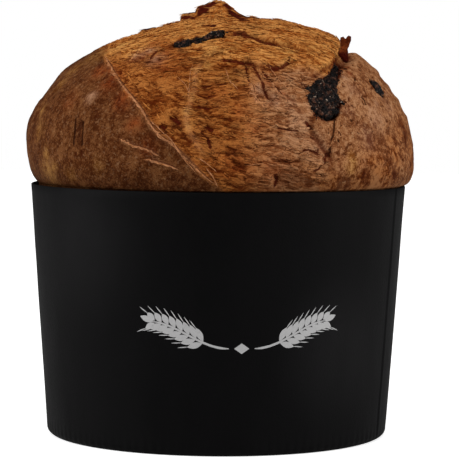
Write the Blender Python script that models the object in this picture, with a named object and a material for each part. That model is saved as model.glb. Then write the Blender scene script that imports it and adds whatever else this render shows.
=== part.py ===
"""A tall chocolate panettone standing in its black paper baking case.

Everything is in metres with +Z up. The origin is the centre of the case's foot, on the surface that it
stands on, and -Y is the front. Places on the crust are given as (azimuth, height): azimuth in degrees
around +Z from +X, and height in millimetres above the foot.
"""

import math

import bmesh
import bpy
import numpy as np
from mathutils import Vector, noise

MM = 0.001

# Paper case: a cup of thin paper that widens upwards
CASE_HEIGHT = 0.1135
RIM_RADIUS = 0.085
FOOT_RADIUS = 0.077
FOOT_CORNER = 0.0035
PAPER = 0.0008
CASE_SIDES = 96
WALL_RINGS = 2
SEAM_AZIMUTH = -22.0
SEAM_WIDTH = 13.0
SEAM_STEP = 0.0004
CLEARANCE = 0.0004

# Crust: the smooth dome, before its folds. It leans to the right, where it is fuller and hangs over the rim
WIDEST_RADIUS = 0.0876
WIDEST_LEAN = 0.0007
WIDEST_HEIGHT = 0.1271
HEIGHT_LEAN = 0.0046
CROWN_HEIGHT = 0.1883
FULLNESS = 0.945
FULLNESS_LEAN = 0.152
NECK_GAP = 0.0026
NECK_DEPTH = 0.012
UNDERCUT = (0.6, 0.75, 1.3)
DOUGH_WAVE = 0.0006
DOUGH_WAVE_LENGTH = 0.045
TORN_WAVE = 0.0005
TORN_WAVE_LENGTH = 0.007
TORN_STRETCH = 3.5

# Density of the crust before it is thinned, and the share of its triangles that is kept
AROUND = 300
UP_DOME = 100
UP_UNDERCUT = 16
KEPT_SHARE = 0.115

# Raised lines where the crust folded over: route, height in mm, half width in mm
RIDGES = (
    (((-146, 171), (-134, 166), (-123, 158), (-114, 149), (-108, 139), (-101, 131), (-95, 122), (-89, 115)), 1.5, 1.6),
    (((-96, 170), (-98, 163), (-98, 155), (-99, 149), (-99, 142), (-96, 134), (-93, 127)), 0.9, 1.4),
    (((-119, 135.5), (-115, 133), (-110, 131), (-106, 128)), 1.0, 1.1),
    (((-111, 127), (-107, 126), (-101, 123)), 0.8, 1.0),
    (((-80, 159), (-79, 153), (-76, 148)), 0.8, 1.3),
    (((-73, 161), (-72, 155), (-69, 150)), 0.9, 1.2),
    (((-67, 120.5), (-56, 123), (-44, 124.5), (-30, 125), (-12, 124)), 1.2, 6.0),
    (((152, 172), (143, 165), (131, 154), (121, 140), (113, 127), (110, 116)), 1.6, 1.8),
    (((101, 170), (93, 160), (88, 148), (87, 134), (90, 119)), 1.0, 1.8),
    (((128, 135), (120, 131), (114, 126)), 0.9, 1.2),
    (((60, 134), (50, 130), (42, 123)), 1.0, 1.4),
    (((185, 152), (176, 146), (170, 137)), 0.7, 3.0),
)

# Furrows and tears: route, depth in mm, half width in mm
FURROWS = (
    (((26, 169), (14, 172), (0, 174), (-12, 172.5), (-22, 170.5), (-34, 168.8), (-44, 165.5), (-52, 160)), 2.4, 2.5),
    (((-59, 148), (-63, 141), (-60, 133), (-57, 127), (-58, 121)), 1.5, 1.5),
    (((-74, 121), (-74, 116)), 1.1, 1.3),
    (((-103, 148), (-101, 140), (-97, 131)), 1.0, 2.6),
    (((-94, 164), (-94, 156), (-93, 147), (-92, 138)), 0.8, 2.2),
    (((-134, 143.5), (-134, 137), (-132, 131)), 0.8, 1.8),
    (((-25, 161.5), (-24, 155.5)), 1.2, 1.3),
    (((-44, 135), (-34, 136), (-22, 137)), 1.0, 3.5),
    (((-77, 159), (-75, 154), (-73, 149)), 1.0, 1.2),
    (((-66, 160), (-61, 157), (-58, 155)), 0.8, 0.9),
    (((46, 170), (54, 162), (62, 150), (68, 138), (70, 126)), 2.2, 2.4),
    (((137, 152), (129, 142), (121, 133)), 0.9, 2.2),
    (((205, 160), (198, 150), (194, 140)), 0.7, 2.6),
    (((10, 142), (4, 134), (8, 128)), 0.8, 2.2),
)

# Sheets of crust whose edge stands up: route of the edge with the sheet on its left, lift in mm,
# width of the edge in mm, and the distance in mm over which the sheet settles back
SHEETS = (
    (((-62, 161), (-54, 164), (-45, 168), (-34, 171), (-22, 173), (-10, 175), (4, 176.5), (18, 175), (32, 170)),
     2.2, 2.0, 36.0),
    (((-112, 175), (-98, 178), (-88, 179.5), (-78, 180.5), (-68, 178), (-60, 174.5), (-50, 173)), 1.5, 1.2, 8.0),
    (((-97, 169.5), (-84, 168.5), (-77, 167), (-71, 165.5), (-64, 168), (-58, 170)), 1.3, 1.2, 8.0),
    (((-64, 138), (-67, 148), (-72, 158), (-82, 163)), 0.8, 1.5, 9.0),
    (((40, 174), (66, 178), (94, 175), (120, 178), (150, 174)), 1.8, 1.6, 11.0),
    (((95, 160), (82, 162), (70, 158), (64, 148)), 1.1, 1.2, 9.0),
)

# Torn layers on the crest that end in a small step: middle of the step as x and y in mm, the way it faces in
# degrees, its rise in mm, half its length in mm, and the distance in mm over which the layer settles back
CREST_STEPS = (
    ((-35.2, -2.0), 176, 1.4, 10.0, 8.0),
    ((-25.3, 1.0), 188, 1.4, 9.0, 8.0),
    ((-17.2, -2.0), 178, 3.0, 10.0, 14.0),
    ((-10.2, -1.0), 184, 2.3, 8.5, 14.0),
    ((13.6, -1.0), 178, 0.9, 4.0, 3.5),
    ((25.4, 2.0), 184, 1.0, 4.5, 4.0),
    ((-12.0, 21.0), 118, 1.5, 9.0, 9.0),
    ((9.0, 17.0), 66, 1.7, 8.0, 8.0),
    ((27.0, 15.0), 20, 1.3, 9.0, 9.0),
)
STEP_EDGE = 0.9

# Broad rises and hollows of the dome: azimuth, height in mm, lift in mm, half width in mm
SWELLS = (
    (180, 182, -1.2, 16.0),
    (180, 163, 1.1, 10.0),
    (180, 145, 1.0, 12.0),
    (180, 122, -0.8, 8.0),
    (0, 141, 0.8, 13.0),
    (0, 160, -0.5, 9.0),
    (-133, 152.5, 0.9, 3.2),
    (-79, 156.5, 1.0, 4.0),
    (-102, 122, -0.7, 9.0),
    (70, 152, 1.0, 20.0),
    (120, 162, -1.0, 16.0),
)

# Where the dough tore open and its strands show: azimuth, height in mm, half width in mm
TORN_PATCHES = (
    (-82, 158, 25.0),
    (-74, 136, 22.0),
    (-95, 178, 18.0),
    (-40, 178, 22.0),
    (95, 158, 24.0),
    (80, 138, 20.0),
)

# The torn lump on the crown: centre x and y, height and half widths in x and y, in mm
CROWN_LUMP = (0.5, -1.0, 5.8, 7.5, 9.0)

# The forked scrap that stands over the notch: middle at each stop in mm, half width at each stop in mm
SCRAP = (
    (((53.6, -28.2, 169.2), (54.6, -28.6, 173.0), (55.2, -29.0, 176.6)), (5.5, 2.6, 1.7)),
    (((55.3, -29.0, 174.6), (54.8, -29.1, 177.4), (54.0, -29.2, 180.2)), (1.6, 1.4, 1.5)),
    (((55.5, -29.0, 174.6), (56.4, -28.9, 177.5), (57.6, -28.8, 180.4)), (1.6, 1.3, 1.2)),
)
SCRAP_HALF_THICKNESS = 0.85

# Chocolate that shows in the crust: route, half width at each stop in mm, half thickness in mm, and the
# depth of its middle below the crust in mm
CHOCOLATE = {
    "chocolate_chunk": (
        ((-37, 169.5), (-40, 167.5), (-45, 164), (-50, 160.3), (-54, 156.4), (-55.5, 152), (-55, 148.5), (-54, 145)),
        (1.8, 2.2, 2.8, 4.2, 8.0, 9.6, 8.6, 5.6),
        3.2,
        1.9,
    ),
    "chocolate_streak": (
        ((-113, 175.0), (-107, 176.0), (-101, 177.2), (-94, 179.0), (-88, 180.4), (-84, 181)),
        (2.4, 3.8, 3.0, 2.6, 3.2, 2.0),
        1.9,
        0.9,
    ),
    "chocolate_drop": (
        ((-25, 161.5), (-24, 157.5), (-23, 153.5)),
        (2.0, 3.6, 2.0),
        1.7,
        1.0,
    ),
}
LOFT_SIDES = 12
CHUNK_LUMPS = 0.0009
CHUNK_LUMP_LENGTH = 0.006

COLOURS = {
    "crust": ((0.25, 0.095, 0.032), 0.6),
    "paper": ((0.012, 0.012, 0.014), 0.75),
    "chocolate": ((0.012, 0.008, 0.007), 0.35),
}


def smooth_step(share):
    """0 to 1 as share goes from 0 to 1, flat at both ends."""
    share = np.clip(share, 0.0, 1.0)
    return share * share * (3.0 - 2.0 * share)


def case_radius(height):
    """Outer radius of the case's wall at a height."""
    return FOOT_RADIUS + (RIM_RADIUS - FOOT_RADIUS) * height / CASE_HEIGHT


def neck_radius(azimuth):
    """Radius of the loaf where it leaves the case: it fills the case, and has shrunk from it on the left."""
    filled = case_radius(CASE_HEIGHT) - PAPER - CLEARANCE
    return filled - NECK_GAP * np.maximum(0.0, -np.cos(azimuth)) ** 2


def widest_height(azimuth):
    """Height of the loaf's widest ring."""
    return WIDEST_HEIGHT - HEIGHT_LEAN * np.cos(azimuth)


def dome(azimuth, climb):
    """Points of the smooth crust. Climb is an angle: -90 degrees at the case's rim, 0 at the widest ring and 90
    at the crown."""
    right, left = np.maximum(0.0, np.cos(azimuth)), np.maximum(0.0, -np.cos(azimuth))
    widest = WIDEST_RADIUS + WIDEST_LEAN * np.cos(azimuth)
    neck = neck_radius(azimuth)
    level = np.clip(np.cos(climb), 0.0, 1.0)
    fullness = FULLNESS - FULLNESS_LEAN * np.cos(azimuth)
    front, full, tucked = UNDERCUT
    undercut = front + (full - front) * right + (tucked - front) * left
    radius = np.where(climb > 0, widest * level**fullness, neck + (widest - neck) * level**undercut)
    middle = widest_height(azimuth)
    rise = np.where(climb > 0, CROWN_HEIGHT - middle, middle - CASE_HEIGHT - CLEARANCE)
    height = middle + rise * np.sin(climb)
    return np.stack([radius * np.cos(azimuth), radius * np.sin(azimuth), height], -1)


def dome_normals(points):
    """Outward directions of the smooth crust, as on an ellipsoid about the centre of its widest ring."""
    rise = CROWN_HEIGHT - WIDEST_HEIGHT
    scaled = (points - (0.0, 0.0, WIDEST_HEIGHT)) / np.array([WIDEST_RADIUS, WIDEST_RADIUS, rise]) ** 2
    return scaled / np.linalg.norm(scaled, axis=-1, keepdims=True)


def on_crust(azimuth, height):
    """The point of the smooth crust at an azimuth in degrees and a height in mm."""
    turn = math.radians(azimuth)
    middle = widest_height(turn)
    above = height * MM - middle
    reach = CROWN_HEIGHT - middle if above > 0 else middle - CASE_HEIGHT - CLEARANCE
    climb = math.asin(max(-1.0, min(1.0, above / reach)))
    return dome(np.array(turn), np.array(climb))


def smooth_line(stops, steps):
    """Points along a smooth curve through the stops, with this many steps between two of them."""
    stops = np.asarray(stops, float)
    padded = np.vstack([2 * stops[0] - stops[1], stops, 2 * stops[-1] - stops[-2]])
    line = []
    for before, start, end, after in zip(padded, padded[1:], padded[2:], padded[3:]):
        for share in np.arange(steps) / steps:
            bend = 2 * before - 5 * start + 4 * end - after
            twist = 3 * (start - end) + after - before
            line.append(start + 0.5 * share * (end - before + share * (bend + share * twist)))
    return np.array([*line, stops[-1]])


class Route:
    """A line drawn on the crust."""

    def __init__(self, stops):
        self.line = smooth_line([on_crust(*stop) for stop in stops], 8)
        self.headings = np.gradient(self.line, axis=0)
        self.headings /= np.linalg.norm(self.headings, axis=1, keepdims=True)
        self.normals = dome_normals(self.line)

    def measure(self, points):
        """For each point: distance to the line, distance to its left, and a share that is 0 at the line's ends
        and 1 along its middle."""
        offsets = points[:, None, :] - self.line[None, :, :]
        spans = np.einsum("pli,pli->pl", offsets, offsets)
        nearest = spans.argmin(1)
        offset = offsets[np.arange(len(points)), nearest]
        leftwards = np.cross(self.normals, self.headings)[nearest]
        along = nearest / (len(self.line) - 1)
        ends = smooth_step(along / 0.15) * smooth_step((1 - along) / 0.15)
        return np.sqrt(spans.min(1)), (offset * leftwards).sum(1), ends


def bump(distance, height, half_width):
    """A rounded rise of a height and half width in mm at a distance in metres."""
    return height * MM * np.exp(-((distance / (half_width * MM)) ** 2))


def noise_at(points, wave_length):
    """Smooth noise from -1 to 1 at each point."""
    return np.array([noise.noise(Vector(point)) for point in points / wave_length])


def torn_share(points):
    """1 where the dough tore open, 0 on smooth skin."""
    share = np.zeros(len(points))
    for azimuth, height, half_width in TORN_PATCHES:
        distance = np.linalg.norm(points - on_crust(azimuth, height), axis=1)
        share = np.maximum(share, bump(distance, 1 / MM, half_width))
    return share


def relief(points):
    """How far the crust stands out from the smooth dome at each point, in metres."""
    lift = DOUGH_WAVE * noise_at(points, DOUGH_WAVE_LENGTH)
    strands = points * (1 / TORN_STRETCH, 1 / TORN_STRETCH, 1.0)
    lift += TORN_WAVE * torn_share(points) * noise_at(strands, TORN_WAVE_LENGTH)
    for azimuth, height, rise, half_width in SWELLS:
        distance = np.linalg.norm(points - on_crust(azimuth, height), axis=1)
        lift += bump(distance, rise, half_width)
    for stops, height, half_width in RIDGES:
        distance, _, ends = Route(stops).measure(points)
        lift += ends * bump(distance, height, half_width)
    for stops, depth, half_width in FURROWS:
        distance, _, ends = Route(stops).measure(points)
        lift -= ends * bump(distance, depth, half_width)
    for stops, height, edge, reach in SHEETS:
        _, leftwards, ends = Route(stops).measure(points)
        inside = smooth_step(leftwards / (edge * MM) + 0.5)
        settled = np.exp(-((np.maximum(leftwards, 0.0) / (reach * MM)) ** 2))
        lift += ends * height * MM * inside * settled
    plan = points[:, :2] / MM
    x, y, height, half_x, half_y = CROWN_LUMP
    across = ((plan[:, 0] - x) / half_x) ** 2 + ((plan[:, 1] - y) / half_y) ** 2
    upper = points[:, 2] > WIDEST_HEIGHT + (CROWN_HEIGHT - WIDEST_HEIGHT) / 2
    lift += height * MM * np.exp(-across) * upper
    for middle, facing, rise, half_length, reach in CREST_STEPS:
        outward = np.array([math.cos(math.radians(facing)), math.sin(math.radians(facing))])
        behind = (middle - plan) @ outward
        beside = (plan - middle) @ (-outward[1], outward[0])
        layer = smooth_step(behind / STEP_EDGE + 0.5) * np.exp(-((np.maximum(behind, 0.0) / reach) ** 2))
        lift += rise * MM * layer * np.exp(-((beside / half_length) ** 4)) * upper
    return lift


def crust_rings():
    """Rings of the crust from the case's rim up, with its folds."""
    azimuths = np.arange(AROUND) * math.tau / AROUND
    climbs = np.radians(
        [
            *np.linspace(-90.0, 0.0, UP_UNDERCUT, endpoint=False),
            *np.linspace(0.0, 90.0, UP_DOME, endpoint=False),
        ]
    )
    azimuth, climb = (grid.ravel() for grid in np.meshgrid(azimuths, climbs))
    points = dome(azimuth, climb)
    clear_of_case = smooth_step((points[:, 2] - CASE_HEIGHT - CLEARANCE) / (6 * MM))
    points += dome_normals(points) * (relief(points) * clear_of_case)[:, None]
    return points.reshape(len(climbs), AROUND, 3)


def cased_rings():
    """Rings of the loaf inside the case, from its foot up to just under the rim."""
    floor = PAPER + CLEARANCE
    wall = PAPER + CLEARANCE
    corner = FOOT_CORNER - PAPER
    shape = []
    for turn in np.radians([0, 30, 60, 90]):
        height = floor + corner * (1 - math.cos(turn))
        shape.append((case_radius(height) - wall - corner * (1 - math.sin(turn)), height))
    for height in np.linspace(floor + corner, CASE_HEIGHT - NECK_DEPTH, 4)[1:]:
        shape.append((case_radius(height) - wall, height))
    azimuths = np.arange(AROUND) * math.tau / AROUND
    circle = np.stack([np.cos(azimuths), np.sin(azimuths)], -1)
    rings = [np.column_stack([circle * radius, np.full(AROUND, height)]) for radius, height in shape]
    return np.array(rings)


def new_object(name, mesh, material):
    """Adds a smooth-shaded object for a mesh."""
    mesh.materials.append(material)
    obj = bpy.data.objects.new(name, mesh)
    bpy.context.scene.collection.objects.link(obj)
    mesh.shade_smooth()
    mesh.set_sharp_from_angle(angle=math.radians(50))
    return obj


def ringed_mesh(name, rings):
    """A closed mesh through rings of points, with a point in the middle of the first and the last ring."""
    around = len(rings[0])
    shell = bmesh.new()
    rows = [[shell.verts.new(point) for point in ring] for ring in rings]
    for lower, upper in zip(rows, rows[1:]):
        for i in range(around):
            j = (i + 1) % around
            shell.faces.new((lower[i], lower[j], upper[j], upper[i]))
    first, last = (shell.verts.new(np.mean(ring, axis=0)) for ring in (rings[0], rings[-1]))
    for i in range(around):
        j = (i + 1) % around
        shell.faces.new((first, rows[0][j], rows[0][i]))
        shell.faces.new((last, rows[-1][i], rows[-1][j]))
    bmesh.ops.recalc_face_normals(shell, faces=shell.faces)
    mesh = bpy.data.meshes.new(name)
    shell.to_mesh(mesh)
    shell.free()
    return mesh


def loft(name, line, half_widths, half_thickness, normals, material, grow=0.0, lumps=0.0):
    """A closed lump along a line, as wide as half_widths and flattened along the normals. Grow moves its whole
    surface outwards, and lumps is how uneven the surface is."""
    headings = np.gradient(line, axis=0)
    headings /= np.linalg.norm(headings, axis=1, keepdims=True)
    count = len(line)
    rings = []
    for k, (centre, heading, normal) in enumerate(zip(line, headings, normals)):
        across = np.cross(normal, heading)
        across /= np.linalg.norm(across)
        out = np.cross(heading, across)
        share = (k + 0.5) / count
        ease = max(0.3, math.sin(math.pi * share)) ** 0.35
        width = half_widths[k] * ease
        thickness = half_thickness * ease
        turns = np.arange(LOFT_SIDES) * math.tau / LOFT_SIDES
        ring = centre + np.outer(np.cos(turns) * width, across) + np.outer(np.sin(turns) * thickness, out)
        uneven = lumps * noise_at(ring, CHUNK_LUMP_LENGTH)
        outward = ring - centre
        rings.append(ring + outward / np.linalg.norm(outward, axis=1, keepdims=True) * uneven[:, None])
    lump = new_object(name, ringed_mesh(name, rings), material)
    grown = [vertex.co + vertex.normal * grow for vertex in lump.data.vertices]
    for vertex, place in zip(lump.data.vertices, grown):
        vertex.co = place
    return lump


def plate(name, stops, half_widths, material):
    """A thin upright scrap of crust through stops in mm."""
    steps = 4
    line = smooth_line(np.array(stops) * MM, steps)
    widths = smooth_line(np.array(half_widths)[:, None], steps)[:, 0] * MM
    normals = np.tile((0.0, -1.0, 0.0), (len(line), 1))
    return loft(name, line, widths, SCRAP_HALF_THICKNESS * MM, normals, material)


def chocolate_piece(name, material, grow=0.0):
    """A lump of chocolate that lies along the crust, sunk into it."""
    stops, half_widths, half_thickness, depth = CHOCOLATE[name]
    steps = 4
    line = smooth_line([on_crust(*stop) for stop in stops], steps)
    normals = dome_normals(line)
    widths = smooth_line(np.array(half_widths)[:, None], steps)[:, 0] * MM
    sunk = line + normals * (relief(line) - depth * MM)[:, None]
    return loft(name, sunk, widths, half_thickness * MM, normals, material, grow, CHUNK_LUMPS)


def apply_modifiers(obj):
    """Replaces an object's mesh with its evaluated one."""
    graph = bpy.context.evaluated_depsgraph_get()
    mesh = bpy.data.meshes.new_from_object(obj.evaluated_get(graph))
    obj.modifiers.clear()
    obj.data = mesh


def combine(obj, others, operation):
    """One Boolean of an object with others, which are then removed."""
    group = bpy.data.collections.new(f"{obj.name}_{operation.lower()}")
    bpy.context.scene.collection.children.link(group)
    for other in others:
        bpy.context.scene.collection.objects.unlink(other)
        group.objects.link(other)
    modifier = obj.modifiers.new(operation.title(), "BOOLEAN")
    modifier.operation = operation
    modifier.operand_type = "COLLECTION"
    modifier.collection = group
    modifier.solver = "EXACT"
    bpy.context.view_layer.update()
    apply_modifiers(obj)
    for other in others:
        bpy.data.objects.remove(other)
    bpy.data.collections.remove(group)


def drop_crumbs(mesh):
    """Keeps the largest body of a mesh, so that no loose sliver of crust is left over a pocket."""
    shell = bmesh.new()
    shell.from_mesh(mesh)
    unseen = set(shell.faces)
    bodies = []
    while unseen:
        body = {unseen.pop()}
        border = list(body)
        while border:
            beside = {face for edge in border.pop().edges for face in edge.link_faces} - body
            body |= beside
            border += beside
        unseen -= body
        bodies.append(body)
    largest = max(bodies, key=len)
    bmesh.ops.delete(shell, geom=[face for face in shell.faces if face not in largest], context="FACES")
    shell.to_mesh(mesh)
    shell.free()


def build_bread(crust, chocolate):
    """The loaf: one solid with its folds, torn flakes and the pockets that the chocolate sits in."""
    rings = [*cased_rings(), *crust_rings()]
    loaf = new_object("bread", ringed_mesh("bread", rings), crust)
    thin = loaf.modifiers.new("Thin", "DECIMATE")
    thin.ratio = KEPT_SHARE
    bpy.context.view_layer.update()
    apply_modifiers(loaf)
    scraps = [plate(f"scrap_{i}", stops, half_widths, crust) for i, (stops, half_widths) in enumerate(SCRAP)]
    combine(loaf, scraps, "UNION")
    cutters = [chocolate_piece(name, chocolate, CLEARANCE) for name in CHOCOLATE]
    combine(loaf, cutters, "DIFFERENCE")
    drop_crumbs(loaf.data)
    loaf.data.materials.clear()
    loaf.data.materials.append(crust)
    loaf.data.shade_smooth()
    loaf.data.set_sharp_from_angle(angle=math.radians(50))
    return loaf


def seam_lift(azimuth):
    """How far the wall stands out where the paper's ends overlap."""
    middle = math.radians(SEAM_AZIMUTH + SEAM_WIDTH / 2)
    away = abs((azimuth - middle + math.pi) % math.tau - math.pi)
    return SEAM_STEP if away < math.radians(SEAM_WIDTH / 2) else 0.0


def build_case(paper):
    """The paper case: a cup with a rounded foot and a glued overlap up its side."""
    corner_turns = np.radians([0, 30, 60, 90])
    inner_corner = FOOT_CORNER - PAPER
    outer = [
        (case_radius(FOOT_CORNER) - FOOT_CORNER * (1 - math.sin(turn)), FOOT_CORNER * (1 - math.cos(turn)))
        for turn in corner_turns
    ]
    outer += [(case_radius(z), z) for z in np.linspace(FOOT_CORNER, CASE_HEIGHT, WALL_RINGS)[1:]]
    inner = [(case_radius(z) - PAPER, z) for z in np.linspace(CASE_HEIGHT, FOOT_CORNER, WALL_RINGS)]
    inner += [
        (
            case_radius(FOOT_CORNER) - PAPER - inner_corner * (1 - math.sin(turn)),
            PAPER + inner_corner * (1 - math.cos(turn)),
        )
        for turn in corner_turns[-2::-1]
    ]
    step = math.tau / CASE_SIDES
    start = math.radians(SEAM_AZIMUTH) + step / 2
    rings = []
    for k, (radius, height) in enumerate([*outer, *inner]):
        on_wall = 3 <= k < len(outer)
        ring = []
        for i in range(CASE_SIDES):
            azimuth = start + i * step
            reach = radius + (seam_lift(azimuth) if on_wall else 0.0)
            ring.append((reach * math.cos(azimuth), reach * math.sin(azimuth), height))
        rings.append(ring)
    return new_object("paper_case", ringed_mesh("paper_case", rings), paper)


def make_material(name):
    """A Principled material with the part's colour and roughness."""
    colour, roughness = COLOURS[name]
    material = bpy.data.materials.new(name)
    material.use_nodes = True
    shader = material.node_tree.nodes["Principled BSDF"]
    shader.inputs["Base Color"].default_value = (*colour, 1.0)
    shader.inputs["Roughness"].default_value = roughness
    shader.inputs["Metallic"].default_value = 0.0
    return material


def main():
    for obj in list(bpy.data.objects):
        bpy.data.objects.remove(obj)
    materials = {name: make_material(name) for name in COLOURS}
    build_case(materials["paper"])
    build_bread(materials["crust"], materials["chocolate"])
    for name in CHOCOLATE:
        chocolate_piece(name, materials["chocolate"])


main()
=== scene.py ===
"""Looks of a tall chocolate panettone in its black paper baking case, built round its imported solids.

Everything is in metres with +Z up, and -Y is the front. Places on the crust are given as (azimuth, height):
azimuth in degrees around +Z from +X, and height in millimetres above the foot.
"""

import math
import random
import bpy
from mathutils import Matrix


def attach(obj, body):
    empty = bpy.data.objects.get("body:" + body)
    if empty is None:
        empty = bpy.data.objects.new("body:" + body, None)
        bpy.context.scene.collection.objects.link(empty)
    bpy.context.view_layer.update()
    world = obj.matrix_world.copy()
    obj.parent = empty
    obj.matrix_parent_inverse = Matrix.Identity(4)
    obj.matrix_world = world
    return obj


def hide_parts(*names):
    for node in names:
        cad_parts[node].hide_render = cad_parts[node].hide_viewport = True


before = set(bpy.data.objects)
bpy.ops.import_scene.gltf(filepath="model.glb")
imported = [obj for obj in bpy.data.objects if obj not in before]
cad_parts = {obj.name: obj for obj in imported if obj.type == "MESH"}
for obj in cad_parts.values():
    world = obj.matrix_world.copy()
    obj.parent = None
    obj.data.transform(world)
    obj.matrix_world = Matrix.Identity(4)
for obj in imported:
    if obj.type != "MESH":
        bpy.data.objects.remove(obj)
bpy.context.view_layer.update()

from types import SimpleNamespace

import bmesh
import bpy
import numpy as np
from bpy.props import FloatProperty, FloatVectorProperty, IntProperty, PointerProperty
from mathutils import Matrix, Vector, kdtree, noise
from mathutils.bvhtree import BVHTree

MM = 0.001

bl_info = {
    "name": "Panettone in a paper case",
    "version": (1, 0, 0),
    "blender": (4, 5, 0),
    "location": "3D View > Sidebar > Panettone",
    "description": "Builds a chocolate panettone, its baking case and a plain studio",
    "category": "Object",
}

# Paper case
CASE_HEIGHT = 0.1135
RIM_RADIUS = 0.085
FOOT_RADIUS = 0.077
FOOT_CORNER = 0.0035
PAPER = 0.0008
SEAM_AZIMUTH = -22.0
SEAM_WIDTH = 13.0
SEAM_STEP = 0.0004
CLEARANCE = 0.0004

# Greyer spots of the paper, partly rubbed wear and partly painted sheen on the left and right of the front:
# middle, reach and strength
RUBBED_AND_SHEEN_SPOTS = (
    ((-0.062, -0.055, 0.090), 0.045, 0.4),
    ((0.050, 0.068, 0.080), 0.030, 0.6),
    ((0.055, -0.060, 0.045), 0.040, 0.4),
)

# Crust: the smooth dome, before its folds
WIDEST_RADIUS = 0.0876
WIDEST_LEAN = 0.0007
WIDEST_HEIGHT = 0.1271
HEIGHT_LEAN = 0.0046
CROWN_HEIGHT = 0.1883
FULLNESS = 0.945
FULLNESS_LEAN = 0.152
NECK_GAP = 0.0026
NECK_DEPTH = 0.012
UNDERCUT = (0.6, 0.75, 1.3)
DOUGH_WAVE = 0.0006
DOUGH_WAVE_LENGTH = 0.045
TORN_WAVE = 0.0005
TORN_WAVE_LENGTH = 0.007
TORN_STRETCH = 3.5

# Raised lines where the crust folded over: route, height in mm, half width in mm
RIDGES = (
    (((-146, 171), (-134, 166), (-123, 158), (-114, 149), (-108, 139), (-101, 131), (-95, 122),
      (-89, 115)), 1.5, 1.6),
    (((-96, 170), (-98, 163), (-98, 155), (-99, 149), (-99, 142), (-96, 134), (-93, 127)), 1.2, 2.0),
    (((-119, 135.5), (-115, 133), (-110, 131), (-106, 128)), 1.0, 1.1),
    (((-111, 127), (-107, 126), (-101, 123)), 0.8, 1.0),
    (((-80, 159), (-79, 153), (-76, 148)), 0.8, 1.3),
    (((-73, 161), (-72, 155), (-69, 150)), 0.9, 1.2),
    (((-67, 120.5), (-56, 123), (-44, 124.5), (-30, 125), (-12, 124)), 1.2, 6.0),
    (((152, 172), (143, 165), (131, 154), (121, 140), (113, 127), (110, 116)), 1.6, 1.8),
    (((101, 170), (93, 160), (88, 148), (87, 134), (90, 119)), 1.0, 1.8),
    (((128, 135), (120, 131), (114, 126)), 0.9, 1.2),
    (((60, 134), (50, 130), (42, 123)), 1.0, 1.4),
    (((185, 152), (176, 146), (170, 137)), 0.7, 3.0),
)

# Furrows and tears: route, depth in mm, half width in mm
FURROWS = (
    (((26, 170), (14, 173.5), (0, 175.6), (-12, 174.4), (-22, 172.3), (-34, 169.6), (-44, 165.5),
      (-52, 160)), 2.8, 2.6),
    (((-59, 148), (-63, 141), (-60, 133), (-57, 127), (-58, 121)), 1.5, 1.5),
    (((-74, 121), (-74, 116)), 1.1, 1.3),
    (((-103, 148), (-101, 140), (-97, 131)), 1.0, 2.6),
    (((-94, 164), (-94, 156), (-93, 147), (-92, 138)), 0.8, 2.2),
    (((-134, 143.5), (-134, 137), (-132, 131)), 0.8, 1.8),
    (((-25, 161.5), (-24, 155.5)), 1.2, 1.3),
    (((-44, 135), (-34, 136), (-22, 137)), 1.0, 3.5),
    (((-77, 159), (-75, 154), (-73, 149)), 1.0, 1.2),
    (((-66, 160), (-61, 157), (-58, 155)), 0.8, 0.9),
    (((46, 170), (54, 162), (62, 150), (68, 138), (70, 126)), 2.2, 2.4),
    (((137, 152), (129, 142), (121, 133)), 0.9, 2.2),
    (((205, 160), (198, 150), (194, 140)), 0.7, 2.6),
    (((10, 142), (4, 134), (8, 128)), 0.8, 2.2),
)

# Sheets of crust whose edge stands up: route of the edge with the sheet on its left, lift in mm,
# width of the edge in mm, and the distance in mm over which the sheet settles back
SHEETS = (
    (((-62, 161), (-54, 164), (-45, 168), (-34, 172.3), (-22, 175.6), (-10, 177.6), (4, 178.5),
      (18, 177), (32, 171)),
     1.5, 1.6, 36.0),
    (((-112, 175), (-98, 178), (-88, 179.5), (-78, 180.5), (-68, 178), (-60, 174.5),
      (-50, 173)), 1.5, 1.2, 8.0),
    (((-97, 169.5), (-84, 168.5), (-77, 167), (-71, 165.5), (-64, 168), (-58, 170)), 1.3, 1.2, 8.0),
    (((-64, 138), (-67, 148), (-72, 158), (-82, 163)), 0.8, 1.5, 9.0),
    (((40, 174), (66, 178), (94, 175), (120, 178), (150, 174)), 1.8, 1.6, 11.0),
    (((95, 160), (82, 162), (70, 158), (64, 148)), 1.1, 1.2, 9.0),
)

# Torn layers on the crest that end in a small step: middle of the step as x and y in mm, the way it faces in
# degrees, its rise in mm, half its length in mm, and the distance in mm over which the layer settles back
CREST_STEPS = (
    ((-35.2, -2.0), 176, 1.4, 10.0, 8.0),
    ((-25.3, 1.0), 188, 1.4, 9.0, 8.0),
    ((-17.2, -2.0), 178, 3.0, 10.0, 14.0),
    ((-10.2, -1.0), 184, 2.3, 8.5, 14.0),
    ((13.6, -1.0), 178, 0.9, 4.0, 3.5),
    ((25.4, 2.0), 184, 1.0, 4.5, 4.0),
    ((-12.0, 21.0), 118, 1.5, 9.0, 9.0),
    ((9.0, 17.0), 66, 1.7, 8.0, 8.0),
    ((27.0, 15.0), 20, 1.3, 9.0, 9.0),
)
STEP_EDGE = 0.9
FOLD_SHARPNESS = 1.3

# Folds wider than this, in mm, are broad swells, and folds narrower than this carry a thread
BROAD_RIDGE = 2.5
NARROW_RIDGE = 1.9

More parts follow.
